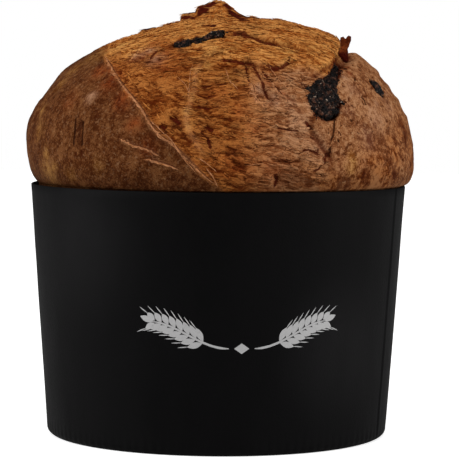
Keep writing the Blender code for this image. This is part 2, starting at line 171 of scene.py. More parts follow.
# Broad rises and hollows of the dome, and the small notch in the cap beside the scrap: azimuth, height in mm,
# lift in mm and half width in mm
SWELLS = (
    (180, 182, -1.2, 16.0),
    (180, 163, 1.1, 10.0),
    (180, 145, 1.0, 12.0),
    (180, 122, -0.8, 8.0),
    (180, 154, -1.8, 9.0),
    (0, 141, 0.8, 13.0),
    (0, 160, -0.5, 9.0),
    (180, 185, -0.9, 8.0),
    (-3, 165.0, 0.8, 2.2),
    (-2, 158.5, 0.7, 2.4),
    (-4, 152.0, 0.6, 2.6),
    (-3, 144.5, 0.5, 2.4),
    (-133, 152.5, 0.9, 3.2),
    (-33, 173.0, -2.2, 4.5),
    (-22, 174.6, -1.6, 4.5),
    (-9, 175.8, -1.9, 4.5),
    (5, 175.8, -1.9, 4.5),
    (-17, 172.6, 1.3, 1.6),
    (-79, 156.5, 1.0, 4.0),
    (-102, 122, -0.7, 9.0),
    (70, 152, 1.0, 20.0),
    (120, 162, -1.0, 16.0),
)

# Where the dough tore open and its strands show: azimuth, height in mm, half width in mm
TORN_PATCHES = (
    (-82, 158, 25.0),
    (-74, 136, 22.0),
    (-95, 178, 18.0),
    (-40, 178, 22.0),
    (95, 158, 24.0),
    (80, 138, 20.0),
)

# The torn lump on the crown: centre x and y, height and half widths in x and y, in mm
CROWN_LUMP = (0.5, -1.0, 5.8, 7.5, 9.0)

# The forked scrap that stands over the notch: middle at each stop in mm, half width at each stop in mm
SCRAP = (
    (((52.4, -29.4, 169.6), (54.6, -29.6, 172.8), (55.4, -29.2, 176.6)), (6.6, 2.5, 1.5)),
    (((55.3, -29.0, 174.6), (54.8, -29.1, 177.4), (54.0, -29.2, 180.2)), (1.6, 1.4, 1.5)),
    (((55.5, -29.0, 174.6), (56.4, -28.9, 177.5), (57.6, -28.8, 180.4)), (1.6, 1.3, 1.2)),
)
SCRAP_HALF_THICKNESS = 0.85
SCRAP_VOXEL = 0.0003

# Chocolate that shows in the crust: route, half width at each stop in mm, half thickness in mm, and the
# depth of its middle below the crust in mm
CHOCOLATE = {
    "chocolate_chunk": (
        ((-37, 169.5), (-40, 167.5), (-45, 164), (-50, 160.3), (-54, 156.4), (-55.5, 152), (-55, 148.5),
      (-54, 146)),
        (1.9, 2.5, 3.0, 3.8, 7.4, 10.4, 9.8, 6.2),
        3.2,
        1.6,
    ),
    "chocolate_streak": (
        ((-110.5, 175.4), (-108, 176.0), (-105, 176.5), (-103, 176.9), (-100.5, 177.3), (-98, 177.9),
      (-96, 178.5),
         (-93, 179.3), (-90, 180.1), (-87.5, 180.6)),
        (2.8, 4.6, 3.6, 1.3, 3.3, 2.4, 0.8, 2.6, 3.5, 1.6),
        2.2,
        0.8,
    ),
    "chocolate_drop": (
        ((-27, 160.6), (-25.5, 157.6), (-24.5, 154.6)),
        (2.4, 4.0, 2.8),
        1.7,
        0.1,
    ),
}

# How much the pieces' width comes and goes along them
CHOCOLATE_RAGGED = {"chocolate_chunk": 0.12, "chocolate_streak": 0.35, "chocolate_drop": 0.1}

# How far the noise pushes the pieces' surface in and out, in metres
CHOCOLATE_KNOBS = {"chocolate_chunk": 0.0010, "chocolate_streak": 0.0009, "chocolate_drop": 0.0003}

# Borders of the crust's regions as (height, azimuth): the torn middle lies between them, at the front and at
# the back, and the cap lies above a border given as (azimuth, height)
FRONT_LEFT = (
    (115, -89), (122, -95), (131, -101), (139, -108), (149, -114), (158, -123), (166, -134), (171, -146),
)
FRONT_RIGHT = ((115, -58), (121, -58), (127, -57), (133, -60), (141, -63), (148, -59), (160, -52), (166, -44))
BACK_LEFT = ((116, 110), (127, 113), (140, 121), (154, 131), (165, 143), (172, 152))
BACK_RIGHT = ((126, 70), (138, 68), (150, 62), (162, 54), (170, 46))
CAP_BORDER = (
    (-180, 177), (-146, 172), (-128, 170), (-112, 173), (-97, 169), (-84, 168), (-71, 166), (-60, 167),
    (-52, 163), (-44, 166.5), (-34, 171), (-22, 174), (-12, 175.8), (0, 176.8), (26, 171), (46, 171),
    (66, 174), (94, 172), (120, 174), (150, 173), (180, 177),
)

# Thin slits cut into the crust and coloured dark as painted shade: route, and half width in mm
SLITS = (
    (((-87, 180.6), (-82.3, 180.6), (-79.7, 180.8), (-77, 180.3), (-74, 179.2), (-71.4, 178.3), (-67, 176.7),
      (-60.6, 172.6)), 0.95),
    (((-83, 180.2), (-80, 180.5), (-77, 180.0), (-74, 179)), 1.60),
    (((-33.4, 170.3), (-35, 168.6), (-36.5, 166)), 0.90),
    (((-36, 162), (-37.5, 161)), 0.50),
    (((-48, 153), (-47.3, 151.2)), 0.50),
    (((-57.8, 130.5), (-57.3, 128.3)), 0.50),
    (((-47.8, 144.6), (-47.3, 143.2)), 0.40),
    (((-61.8, 132), (-61, 130.8)), 0.50),
    (((-60.9, 121.6), (-60.3, 120.4)), 0.40),
    (((-54.4, 136), (-53.8, 134.6)), 0.40),
    (((-63.4, 158), (-60.5, 157), (-57.5, 155)), 0.30),
    (((-89.5, 169.2), (-85, 168.7), (-80.5, 167.8), (-77, 167.3)), 0.45),
    (((-74.5, 167), (-71, 165.8), (-68, 166), (-65, 167.5), (-62.5, 169.4)), 0.75),
    (((-78, 168), (-77, 164.4), (-76, 160), (-75.5, 155.7), (-74.5, 152.3)), 0.55),
    (((-75, 165), (-73, 160.7), (-71.5, 156.5), (-70.5, 153)), 0.50),
    (((-80.3, 168.6), (-80.3, 163), (-80.3, 158)), 0.35),
    (((-66, 162.7), (-64, 161), (-61.5, 159), (-59.5, 156.5)), 0.40),
    (((-64, 144), (-63.4, 142), (-62, 140)), 0.90),
    (((-67.5, 129.7), (-65.5, 131.2), (-63, 131.1), (-60.5, 128.7)), 0.40),
    (((-60.5, 124.6), (-62, 123.1), (-64, 122.2)), 0.40),
    (((-57, 133), (-57.5, 130.7), (-59, 128.1), (-60, 125.4)), 0.60),
    (((-53, 147.3), (-54.5, 142.6), (-55.5, 138.3), (-57, 134.6)), 0.45),
    (((-39, 154.4), (-38, 152.4), (-38.5, 150)), 0.45),
    (((-74.5, 122.3), (-73.5, 119), (-74.5, 115.6)), 0.60),
    (((-136.8, 144), (-136, 139), (-135.6, 131)), 0.45),
    (((-133.8, 143.4), (-132.6, 138.8), (-132.8, 130.8)), 0.50),
    (((-97, 157.9), (-93, 158.7), (-89.5, 159.1), (-87, 159.4)), 0.40),
    (((-97, 154.2), (-94.5, 154.1), (-91, 154.5)), 0.35),
    (((-97, 149.8), (-93, 149.2), (-89.5, 150)), 0.40),
    (((-104.5, 145), (-102.5, 144), (-101, 142)), 1.10),
    (((-107, 141.4), (-105, 140)), 0.80),
    (((-94, 141.6), (-91.5, 138.9)), 0.80),
    (((-95, 139.6), (-93, 135.8), (-92, 131.5)), 0.70),
    (((-71.5, 127.3), (-69.5, 126)), 0.60),
    (((-74, 140.9), (-69.5, 139.6), (-66.5, 139.4)), 0.35),
    (((-117.5, 173.5), (-118, 171.7), (-117.5, 168.8)), 0.60),
    (((74, 166), (80, 158), (82, 148)), 0.60),
    (((96, 146), (104, 143), (112, 137)), 0.50),
    (((58, 176), (76, 177), (92, 174)), 0.60),
    (((30, 150), (36, 143), (35, 136)), 0.50),
)

# Threads of crust that lie on the torn dough, besides those along the folds: route, and half width in mm
THREADS = (
    (((-111, 144), (-106, 138.8), (-103.5, 135.5), (-100, 129), (-95.5, 121)), 0.26),
    (((-99.6, 167.5), (-99.8, 161), (-99, 154.3)), 0.18),
    (((-93.5, 124), (-91.5, 119.6), (-90, 115.5)), 0.26),
    (((-95.5, 128), (-93, 125.5), (-90.5, 122.3)), 0.24),
    (((-104, 162), (-100.5, 158), (-98.5, 152)), 0.16),
    (((-88, 166), (-86.5, 161), (-84, 156.5)), 0.18),
    (((-72, 167), (-70, 161), (-67, 155)), 0.20),
    (((-83, 125), (-76, 125.6), (-70, 124.5)), 0.16),
    (((104, 168), (99, 159), (96, 150)), 0.28),
)
THREAD_HALF_WIDTH = 0.30

# Where the torn dough is calmer, with few strands: azimuth, height in mm and half width in mm
CALM_PATCHES = (
    (-108, 162, 8.0),
    (-105, 150, 5.5),
    (-118, 169, 6.0),
    (-77, 156, 3.2),
    (-73, 152, 4.0),
    (-64, 150, 5.0),
    (100, 165, 7.0),
)

# Stains that tint the crust, whose dark ones are partly painted shade along furrows and slits, round the
# chocolate and under the cap's edge: azimuth, height in mm, half width in mm and strength
STAINS_AND_SHADE = {
    "gold": (
        (-159, 165, 5, 0.6), (-156, 171, 5, 0.7), (-144, 175, 5, 0.8), (-130, 175, 5, 0.6),
        (-92, 173, 5, 0.9), (-94, 167, 3, 0.9), (-87, 161, 4, 0.5), (-81, 164, 3, 0.5), (-83, 175, 4, 0.7),
        (-146, 122, 3, 0.6), (-138, 119, 3, 0.5), (-150, 128, 3, 0.6), (-160, 146, 4, 0.6),
        (-158, 158, 4, 0.7), (-148, 170, 4, 0.7), (-140, 172, 4, 0.6), (-62, 173, 6, 0.8),
        (-47, 174, 6, 0.7), (-36, 172, 4, 0.6), (-156, 138, 4, 0.5), (-150, 120, 6, 0.6),
        (-126, 124, 3, 0.4), (-50, 128, 2.6, 1.0), (-70, 183, 9, 0.5), (-110, 183, 8, 0.5),
        (60, 172, 8, 0.7), (110, 176, 9, 0.7), (92, 150, 6, 0.5), (150, 130, 6, 0.4),
        (-97.5, 165, 2.2, 0.8), (-98, 159, 2.2, 0.8), (-98.5, 153, 2.2, 0.8), (-99, 147, 2.2, 0.7),
        (-98.5, 141, 2.0, 0.6), (-50.5, 124, 3.0, 0.9),
    ),
    "red": (
        (-128, 160, 6, 0.9), (-120, 152, 5, 0.9), (-137, 164, 5, 0.8), (-115, 142, 4, 0.7),
        (-143, 151, 5, 0.4), (-74, 159, 2.5, 0.8), (-70, 154, 2.2, 0.8), (-58, 169, 3, 0.6),
        (-44, 164, 2, 0.9), (-40, 167, 2.5, 0.9), (-110, 132, 4, 0.6), (70, 142, 7, 0.6),
        (118, 150, 5, 0.7), (20, 160, 5, 0.5), (-85, 125, 9, 0.55), (-74, 122, 8, 0.55),
        (-35, 168, 2.4, 1.0), (-38, 164, 1.8, 0.9), (-131, 164, 3, 0.8), (-113, 174, 4.5, 0.8),
        (-109, 166, 6, 0.55), (-106, 171, 4, 0.6), (-122, 176, 5, 0.7), (-90, 156, 5, 0.5),
        (-84, 148, 5, 0.5), (-80, 140, 5, 0.4),
    ),
    # Partly painted shade: along furrows and slits, round the chocolate and under the cap's standing edge
    "dark": (
        (-156, 154, 5, 0.5), (-134, 138, 6, 0.5), (-134.4, 135.5, 2.4, 1.0), (-133.8, 141, 2.0, 0.9),
        (-112, 116, 7, 0.7), (-101, 118, 5, 0.7), (-122, 120, 6, 0.5), (-70, 120, 5, 0.6),
        (-93, 141, 3, 0.6), (-92, 132, 3, 0.6), (-102, 143, 3.5, 0.6), (-105, 139, 3, 0.6),
        (-80, 168, 2.5, 0.6), (-86, 130, 3, 0.5), (-99, 168, 3, 0.4), (-35, 170.5, 3.2, 1.0),
        (-96, 137, 3, 0.5), (-116, 173, 2.0, 0.9), (-112, 175.2, 2.2, 0.8), (-107, 173.5, 2.0, 0.8),
        (-102, 174.6, 1.6, 0.7), (-118, 168, 2.4, 0.7), (-96, 170, 2.0, 0.8), (-84, 165, 2.2, 0.6),
        (-104, 172.5, 2.5, 0.7), (-98, 173.5, 2.2, 0.6), (-92, 171.5, 2.6, 0.6), (-101, 169.5, 2.2, 0.6),
        (-89, 151, 3, 0.5), (-86, 141, 3, 0.6), (80, 128, 8, 0.5), (62, 152, 5, 0.5), (-94, 158, 1.8, 0.6),
        (-94.5, 151, 1.8, 0.6), (-95, 146, 1.6, 0.6),
    ),
    "pink": (
        (-124, 171, 4, 0.8), (-121, 172.5, 3, 0.9), (-115, 169, 4, 0.7), (-77, 156, 3, 1.0),
        (-73, 152.5, 3.5, 1.0), (-68, 150, 4, 0.8), (-62, 149, 3, 0.6), (-42, 157, 5, 0.6),
        (-36, 145, 6, 0.7), (-42, 137, 5, 0.8), (-42, 162, 3, 0.6), (-24, 150, 5, 0.5), (-66, 145, 5, 0.5),
        (-61, 136, 4, 0.4), (-133, 152.5, 2.6, 1.0), (-48, 148, 4, 0.5), (100, 165, 5, 0.6),
        (40, 140, 8, 0.5), (-14, 156.5, 1.6, 0.8), (-20, 155, 1.6, 0.8), (-26, 153.3, 1.6, 0.9),
        (-32, 151, 1.8, 0.8), (-37, 148.8, 2.0, 0.6), (-67, 140, 6, 0.5), (-61, 133, 6, 0.5),
    ),
    "ember": (
        (-40, 125, 10, 0.9), (-29, 130, 8, 1.0), (-46, 117, 9, 1.0), (-19, 138, 9, 0.9),
        (-34, 120, 11, 1.0), (-57, 118, 8, 0.8), (-64, 121, 6, 0.7), (-12, 126, 12, 1.0),
        (20, 126, 12, 0.8), (50, 122, 9, 0.6),
    ),
}

# Dark red patches of the crest: x and y in mm, half width in mm and strength
CREST_DARK_PATCHES = (
    (-7.0, -7.5, 2.6, 1.0), (-4.9, -5.5, 2.2, 1.0), (-2.7, -4.5, 1.8, 0.9), (-15, -10.5, 2.4, 1.0),
    (-12, -12, 1.8, 0.8), (-8.5, -9.2, 1.6, 1.0), (3.6, -5.0, 2.2, 0.9), (5.8, -9.0, 2.6, 1.0),
    (7.6, -9.5, 2.8, 1.0), (9.5, -13.5, 2.8, 1.0), (9.5, -3.0, 2.6, 1.0), (12.0, -6.5, 2.8, 1.0),
    (-6.0, -1.0, 2.4, 1.0), (-3.6, 1.0, 2.0, 0.9), (-8.5, -4.5, 2.0, 0.9), (11.0, -19, 2.4, 0.8),
    (-2.9, -32.9, 1.8, 0.9), (-5.5, -32.0, 1.6, 0.8), (-26, -8, 2.4, 0.7), (-34, -6, 2.4, 0.7),
    (-32.5, -9, 3.2, 0.9), (-28.5, -8, 2.8, 0.8), (-22.5, -9, 3.2, 0.9), (-19, -8, 2.6, 0.8),
    (-13.5, -3, 3.0, 1.0), (16, -6, 3.0, 0.7), (-14, 10, 5.0, 0.7), (12, 12, 5.0, 0.7), (30, 6, 4.0, 0.5),
)

# Kinds of strokes on the crust: how many, then length, width and depth as a base and what size adds, in mm,
# and how much they may curl. A depth below 0 lays a strand.
STROKES = {
    "tear": (3000, (0.9, 3.2), (0.32, 0.16), (0.20, 0.40), 0.8),
    "strand": (4200, (1.4, 6.5), (0.40, 0.35), (-0.10, -0.22), 1.2),
    "hollow": (150, (1.6, 3.0), (0.6, 0.6), (0.5, 0.6), 1.2),
    "pit": (900, (0.7, 1.3), (0.4, 0.25), (0.4, 0.4), 0.0),
}
SLIT_DEPTH = 0.55

# Marks of the crust that its material reads, besides its stains and the painted shade among them
CRUST_MARKS = (
    "torn", "cap", "right", "rosy", "low", "ridge", "crease", "tear", "strand", "height", "tone", "crest",
    "calm", "slit_side", "slit_near", "fold_side", "fold_near",
)

# How each stain looks, the dark ones being partly painted shade: its colours and its strength, in the order
# in which they are laid
STAIN_LOOKS = {"gold": ("gold", 0.60), "red": ("red", 0.75), "pink": ("pink", 0.70), "dark": ("shadow", 0.75)}
STAIN_WAVE_LENGTH = 0.0032

# How the strands arch over the front and the back, and the crust just above the case, darkened there partly
# as painted shade from the case and the undercut and partly as browner baking: top and reach in mm
ARCH = 2.4
LOW_TOP = 127
LOW_REACH = 14

# How the crust's relief is measured for painted shade in its hollows and painted highlight on its raised
# points: rounds of blurring, and the height in mm that counts as one
BLUR_ROUNDS = 7
RAISED_STEP = 0.15

# Routes: steps between two stops, share of the line that fades at each end, and points measured at a time
ROUTE_STEPS = 8
LINE_END = 0.15
BATCH = 8192

# Grains of chocolate on each square metre
GRAINS_ON_CHOCOLATE = 1100000.0
GRAINS_SPILLED = 700000.0

# Printed ornament: azimuth in degrees and height in mm of its middle, and half the ink's thickness in mm
ORNAMENT_AZIMUTH = -82.5
ORNAMENT_HEIGHT = 52.0
INK_HALF_THICKNESS = 0.05

# Density of the crust's mesh: points round it, step between rings in metres, and crowding at the front
AROUND = 608
RING_STEP = 0.00069
FRONT_DENSITY = 0.28

# How much brighter than its base colour a surface looks in the studio
STUDIO_GAIN = 1.15


def shade(*levels):
    """The base colour that looks like these levels, from 0 to 255, in the studio's light."""
    shares = [level / 255 for level in levels]
    linear = [share / 12.92 if share < 0.04 else ((share + 0.055) / 1.055) ** 2.4 for share in shares]
    return tuple(value / STUDIO_GAIN for value in linear)


def smooth_step(share):
    """0 to 1 as share goes from 0 to 1, flat at both ends."""
    share = np.clip(share, 0.0, 1.0)
    return share * share * (3.0 - 2.0 * share)


def case_radius(height):
    """Outer radius of the case's wall at a height."""
    return FOOT_RADIUS + (RIM_RADIUS - FOOT_RADIUS) * height / CASE_HEIGHT


def neck_radius(azimuth):
    """Radius of the loaf where it leaves the case: it fills the case, and has shrunk from it on the left."""
    filled = case_radius(CASE_HEIGHT) - PAPER - CLEARANCE
    return filled - NECK_GAP * np.maximum(0.0, -np.cos(azimuth)) ** 2


def widest_height(azimuth):
    """Height of the loaf's widest ring."""
    return WIDEST_HEIGHT - HEIGHT_LEAN * np.cos(azimuth)


def dome(azimuth, climb):
    """Points of the smooth crust. Climb is an angle: -90 degrees at the case's rim, 0 at the widest ring and
    90 at the crown."""
    right, left = np.maximum(0.0, np.cos(azimuth)), np.maximum(0.0, -np.cos(azimuth))
    widest = WIDEST_RADIUS + WIDEST_LEAN * np.cos(azimuth)
    neck = neck_radius(azimuth)
    level = np.clip(np.cos(climb), 0.0, 1.0)
    fullness = FULLNESS - FULLNESS_LEAN * np.cos(azimuth)
    front, full, tucked = UNDERCUT
    undercut = front + (full - front) * right + (tucked - front) * left
    radius = np.where(climb > 0, widest * level**fullness, neck + (widest - neck) * level**undercut)
    middle = widest_height(azimuth)
    rise = np.where(climb > 0, CROWN_HEIGHT - middle, middle - CASE_HEIGHT - CLEARANCE)
    height = middle + rise * np.sin(climb)
    return np.stack([radius * np.cos(azimuth), radius * np.sin(azimuth), height], -1)


def dome_normals(points):
    """Outward directions of the smooth crust, as on an ellipsoid about the centre of its widest ring."""
    rise = CROWN_HEIGHT - WIDEST_HEIGHT
    scaled = (points - (0.0, 0.0, WIDEST_HEIGHT)) / np.array([WIDEST_RADIUS, WIDEST_RADIUS, rise]) ** 2
    return scaled / np.linalg.norm(scaled, axis=-1, keepdims=True)


def on_crust(azimuth, height):
    """The point of the smooth crust at an azimuth in degrees and a height in mm."""
    turn = math.radians(azimuth)
    middle = widest_height(turn)
    above = height * MM - middle
    reach = CROWN_HEIGHT - middle if above > 0 else middle - CASE_HEIGHT - CLEARANCE
    climb = math.asin(max(-1.0, min(1.0, above / reach)))
    return dome(np.array(turn), np.array(climb))


def smooth_line(stops, steps):
    """Points along a smooth curve through the stops, with this many steps between two of them."""
    stops = np.asarray(stops, float)
    padded = np.vstack([2 * stops[0] - stops[1], stops, 2 * stops[-1] - stops[-2]])
    line = []
    for before, start, end, after in zip(padded, padded[1:], padded[2:], padded[3:]):
        for share in np.arange(steps) / steps:
            bend = 2 * before - 5 * start + 4 * end - after
            twist = 3 * (start - end) + after - before
            line.append(start + 0.5 * share * (end - before + share * (bend + share * twist)))
    return np.array([*line, stops[-1]])


class Route:
    """A line drawn on the crust."""

    def __init__(self, stops):
        self.line = smooth_line([on_crust(*stop) for stop in stops], ROUTE_STEPS)
        self.headings = directions(self.line)
        self.normals = dome_normals(self.line)

    def nearest(self, points):
        """For each point: the index of the line's nearest point, and the distance to it."""
        nearest = np.zeros(len(points), int)
        distance = np.zeros(len(points))
        for start in range(0, len(points), BATCH):
            part = slice(start, start + BATCH)
            offsets = points[part, None, :] - self.line[None, :, :]
            spans = np.einsum("pli,pli->pl", offsets, offsets)
            nearest[part] = spans.argmin(1)
            distance[part] = np.sqrt(spans.min(1))
        return nearest, distance

    def close_by(self, points, reach):
        """Which points lie inside the line's box, widened by a reach."""
        inside = (points > self.line.min(0) - reach) & (points < self.line.max(0) + reach)
        return np.flatnonzero(inside.all(1))

    def measure(self, points):
        """For each point: distance to the line, distance to its left, and a share that is 0 at the line's
        ends and 1 along its middle."""
        nearest, distance = self.nearest(points)
        offset = points - self.line[nearest]
        leftwards = np.cross(self.normals, self.headings)[nearest]
        along = nearest / (len(self.line) - 1)
        ends = smooth_step(along / LINE_END) * smooth_step((1 - along) / LINE_END)
        return distance, (offset * leftwards).sum(1), ends


def directions(line):
    """Unit vectors along a line at each of its points."""
    headings = np.gradient(line, axis=0)
    return headings / np.linalg.norm(headings, axis=1, keepdims=True)


def away_from(points, azimuth, height):
    """Distance of each point from a place on the crust."""
    return np.linalg.norm(points - on_crust(azimuth, height), axis=1)


def bump(distance, height, half_width):
    """A rounded rise of a height and half width in mm at a distance in metres."""
    return height * MM * np.exp(-((distance / (half_width * MM)) ** 2))


def line_marks(points, lines, reach=0.0026):
    """Thin lines on the crust. For each point: how far it lies to the left of its nearest line, as a share of
    the line's half width, a share that is 1 close to a line, and how deep the line cuts, from 0 to 1."""
    best, side = np.full(len(points), np.inf), np.full(len(points), 9.0)
    near, cut = np.zeros((2, len(points)))
    for stops, half_width in lines:
        route = Route(stops)
        close = route.close_by(points, reach)
        distance, leftwards, ends = route.measure(points[close])
        cut[close] = np.maximum(cut[close], ends * bump(distance, 1 / MM, 0.5 + half_width))
        nearer = distance < best[close]
        chosen = close[nearer]
        best[chosen] = distance[nearer]
        side[chosen] = (leftwards / (half_width * MM * np.maximum(ends, 0.3)))[nearer]
        near[chosen] = (smooth_step(ends * 4) * smooth_step((reach - distance) / (0.5 * reach)))[nearer]
    return side, near, cut


def stained(points, stains):
    """How strongly each point is stained, from 0 to 1, in soft uneven patches."""
    share = np.zeros(len(points))
    for azimuth, height, half_width, strength in stains:
        spot = bump(away_from(points, azimuth, height), 1 / MM, half_width)
        share = np.maximum(share, strength * spot)
    return np.clip(share * (1.0 + 0.9 * noise_at(points, STAIN_WAVE_LENGTH)), 0.0, 1.0)


def calm_share(points):
    """1 where the torn dough is calm."""
    return stained(points, [(*patch, 1.0) for patch in CALM_PATCHES])


def on_crown(points):
    """Which points lie in the upper half of the dome."""
    return points[:, 2] > (WIDEST_HEIGHT + CROWN_HEIGHT) / 2


def crest_darkness(points):
    """How dark the crest's patches are at each point, from 0 to 1."""
    share = np.zeros(len(points))
    for x, y, half_width, strength in CREST_DARK_PATCHES:
        distance = np.hypot(points[:, 0] / MM - x, points[:, 1] / MM - y)
        share = np.maximum(share, strength * np.exp(-((distance / half_width) ** 2)) * on_crown(points))
    return share


def noise_at(points, wave_length):
    """Smooth noise from -1 to 1 at each point."""
    return np.array([noise.noise(point) for point in (points / wave_length).tolist()])


def torn_share(points):
    """1 where the dough tore open, 0 on smooth skin."""
    return np.max([bump(away_from(points, *place), 1 / MM, half) for *place, half in TORN_PATCHES], axis=0)


def relief(points):
    """How far the crust stands out from the smooth dome at each point, in metres, and where its ridges and
    its creases are, as shares from 0 to 1, for painted highlight on the ridges and painted shade in the
    creases."""
    ridge, crease = np.zeros(len(points)), np.zeros(len(points))
    lift = DOUGH_WAVE * noise_at(points, DOUGH_WAVE_LENGTH)
    strands = points * (1 / TORN_STRETCH, 1 / TORN_STRETCH, 1.0)
    lift += TORN_WAVE * torn_share(points) * noise_at(strands, TORN_WAVE_LENGTH)
    for azimuth, height, rise, half_width in SWELLS:
        lift += bump(away_from(points, azimuth, height), rise, half_width)
    for stops, height, half_width in RIDGES:
        distance, _, ends = Route(stops).measure(points)
        if half_width > BROAD_RIDGE:
            lift += ends * bump(distance, height, half_width)
            continue
        lift += ends * height * MM * np.exp(-((distance / (0.75 * half_width * MM)) ** FOLD_SHARPNESS))
        # The ridge share is where the material paints highlight along the folds
        ridge = np.maximum(ridge, ends * bump(distance, 1 / MM, 0.6 * half_width))
    for stops, depth, half_width in FURROWS:
        distance, _, ends = Route(stops).measure(points)
        lift -= ends * bump(distance, depth, half_width)
        # The crease share is painted shade, darker in deeper furrows
        dark = bump(distance, 1 / MM, 0.7 * half_width) * min(0.8, (depth / 2.4) ** 2)
        crease = np.maximum(crease, ends * dark)
    for stops, height, edge, reach in SHEETS:
        distance, leftwards, ends = Route(stops).measure(points)
        inside = smooth_step(leftwards / (edge * MM) + 0.5)
        settled = np.exp(-((np.maximum(leftwards, 0.0) / (reach * MM)) ** 2))
        lift += ends * height * MM * inside * settled
        # Painted shadow under the sheet's standing edge
        under = np.exp(-(((leftwards / MM + 0.55 * edge) / (0.55 * edge)) ** 2)) * (distance < 4 * edge * MM)
        crease = np.maximum(crease, 0.75 * ends * under * min(1.0, (height / 1.4) ** 2))
    plan = points[:, :2] / MM
    upper = on_crown(points)
    x, y, height, half_x, half_y = CROWN_LUMP
    across = ((plan[:, 0] - x) / half_x) ** 2 + ((plan[:, 1] - y) / half_y) ** 2
    lift += height * MM * np.exp(-across) * upper
    for middle, facing, rise, half_length, reach in CREST_STEPS:
        outward = np.array([math.cos(math.radians(facing)), math.sin(math.radians(facing))])
        behind = (middle - plan) @ outward
        beside = (plan - middle) @ (-outward[1], outward[0])
        layer = smooth_step(behind / STEP_EDGE + 0.5) * np.exp(-((np.maximum(behind, 0.0) / reach) ** 2))
        lift += rise * MM * layer * np.exp(-((beside / half_length) ** 4)) * upper
    return lift, ridge, crease


def regions(points):
    """How much of each point belongs to the torn middle, the cap and the right-hand lobe, from 0 to 1."""
    azimuth = np.degrees(np.arctan2(points[:, 1], points[:, 0]))
    height = points[:, 2] / MM
    reach = np.radians(1) * np.linalg.norm(points[:, :2], axis=1) / MM
    wander = 2.5 * noise_at(points, 0.009)

    def beyond(border, width=3.0):
        """1 on the anticlockwise side of a border."""
        heights, azimuths = np.array(border, float).T
        return smooth_step(((azimuth - np.interp(height, heights, azimuths)) * reach + wander) / width + 0.5)

    front = (azimuth < 0) * beyond(FRONT_LEFT) * (1 - beyond(FRONT_RIGHT, 6.0))
    back = (azimuth >= 0) * beyond(BACK_RIGHT) * (1 - beyond(BACK_LEFT))
    azimuths, heights = np.array(CAP_BORDER, float).T
    cap = smooth_step((height - np.interp(azimuth, azimuths, heights) + wander) / 5.0 + 0.5)
    right = (1 - cap) * np.where(azimuth < 0, beyond(FRONT_RIGHT, 6.0), 1 - beyond(BACK_RIGHT))
    return np.maximum(front, back), cap, right


def ring_climbs():
    """Climbs of the crust's rings, evenly spaced along the surface."""
    climbs = np.radians(np.linspace(-90, 90, 2000))
    line = dome(np.full(2000, -math.pi / 2), climbs)
    arc = np.concatenate([[0.0], np.cumsum(np.linalg.norm(np.diff(line, axis=0), axis=1))])
    count = int(arc[-1] / RING_STEP)
    return np.interp(np.linspace(0, arc[-1], count + 1)[:-1], arc, climbs)


def ring_turns(count):
    """Azimuths round a ring, closer together at the front."""
    turns = np.arange(count) * math.tau / count
    return turns - FRONT_DENSITY * np.cos(turns)


def crust_grid():
    """The crust's smooth rings from inside the case up to the crown, with fewer points round small ones."""
    rings, exposed = [], []
    wall = PAPER + CLEARANCE
    corner = FOOT_CORNER - PAPER
    foot = case_radius(wall + corner) - wall
    cased = [(foot - corner, wall), (foot, wall + corner)]
    heights = np.linspace(0.03, CASE_HEIGHT - NECK_DEPTH, 3)
    cased += [(case_radius(height) - wall, height) for height in heights]
    for (radius, height), count in zip(cased, (AROUND // 4, AROUND // 4, AROUND // 4, AROUND // 2, AROUND)):
        turns = ring_turns(count)
        rings.append(np.stack([radius * np.cos(turns), radius * np.sin(turns), np.full(count, height)], -1))
        exposed.append(False)
    count = AROUND
    narrowest = 0.5 * math.tau * WIDEST_RADIUS / AROUND
    for climb in ring_climbs():
        radius = WIDEST_RADIUS * math.cos(climb)
        while climb > 0 and math.tau * radius / count < narrowest and count % 2 == 0:
            count //= 2
        rings.append(dome(ring_turns(count), np.full(count, climb)))
        exposed.append(True)
    return rings, exposed


def ringed_faces(counts):
    """Faces between rings of points, where a ring has as many points as the last, half as many or twice as
    many, and the fans that close both ends."""
    starts = np.concatenate([[0], np.cumsum(counts)])
    faces = []
    for lower, upper, first, second in zip(counts, counts[1:], starts, starts[1:]):
        if lower == upper:
            for i in range(lower):
                j = (i + 1) % lower
                faces.append((first + i, first + j, second + j, second + i))
        elif lower == 2 * upper:
            for i in range(upper):
                j = (i + 1) % upper
                a, b, c = first + 2 * i, first + 2 * i + 1, first + (2 * i + 2) % lower
                faces += [(a, b, second + i), (b, second + j, second + i), (b, c, second + j)]
        else:
            for i in range(lower):
                j = (i + 1) % lower
                a, b, c = second + 2 * i, second + 2 * i + 1, second + (2 * i + 2) % upper
                faces += [(first + i, b, a), (first + i, first + j, b), (first + j, c, b)]
    bottom, top = starts[-1], starts[-1] + 1
    for i in range(counts[0]):
        faces.append((bottom, starts[0] + (i + 1) % counts[0], starts[0] + i))
    for i in range(counts[-1]):
        faces.append((top, starts[-2] + i, starts[-2] + (i + 1) % counts[-1]))
    return faces


class Strokes:
    """Short marks cut into or laid on the crust, each along its own heading."""

    def __init__(self, points):
        self.points = points
        self.lift = np.zeros(len(points))
        # Painted shade of the cuts and painted highlight of the laid strands, as shares
        self.dark = np.zeros(len(points))
        self.pale = np.zeros(len(points))
        self.tree = kdtree.KDTree(len(points))
        for i, point in enumerate(points.tolist()):
            self.tree.insert(point, i)
        self.tree.balance()

    def draw(self, centre, heading, normal, half_length, half_width, depth, curl=0.0):
        """Cuts a mark of a depth in mm, or lays a strand where depth is below 0."""
        found = self.tree.find_range(centre, (half_length + 2 * half_width) * MM)
        if not found:
            return
        near = np.array([index for _, index, _ in found])
        offset = (self.points[near] - centre) / MM
        side = np.cross(normal, heading)
        along = offset @ heading / half_length
        across = (offset @ side - curl * along**2) / half_width
        shape = np.exp(-(across**2)) * smooth_step((1 - np.abs(along)) / 0.45)
        self.lift[near] -= depth * MM * shape
        # Cuts are coloured dark as painted shade, laid strands pale as painted highlight
        marks = self.dark if depth > 0 else self.pale
        marks[near] = np.maximum(marks[near], shape)


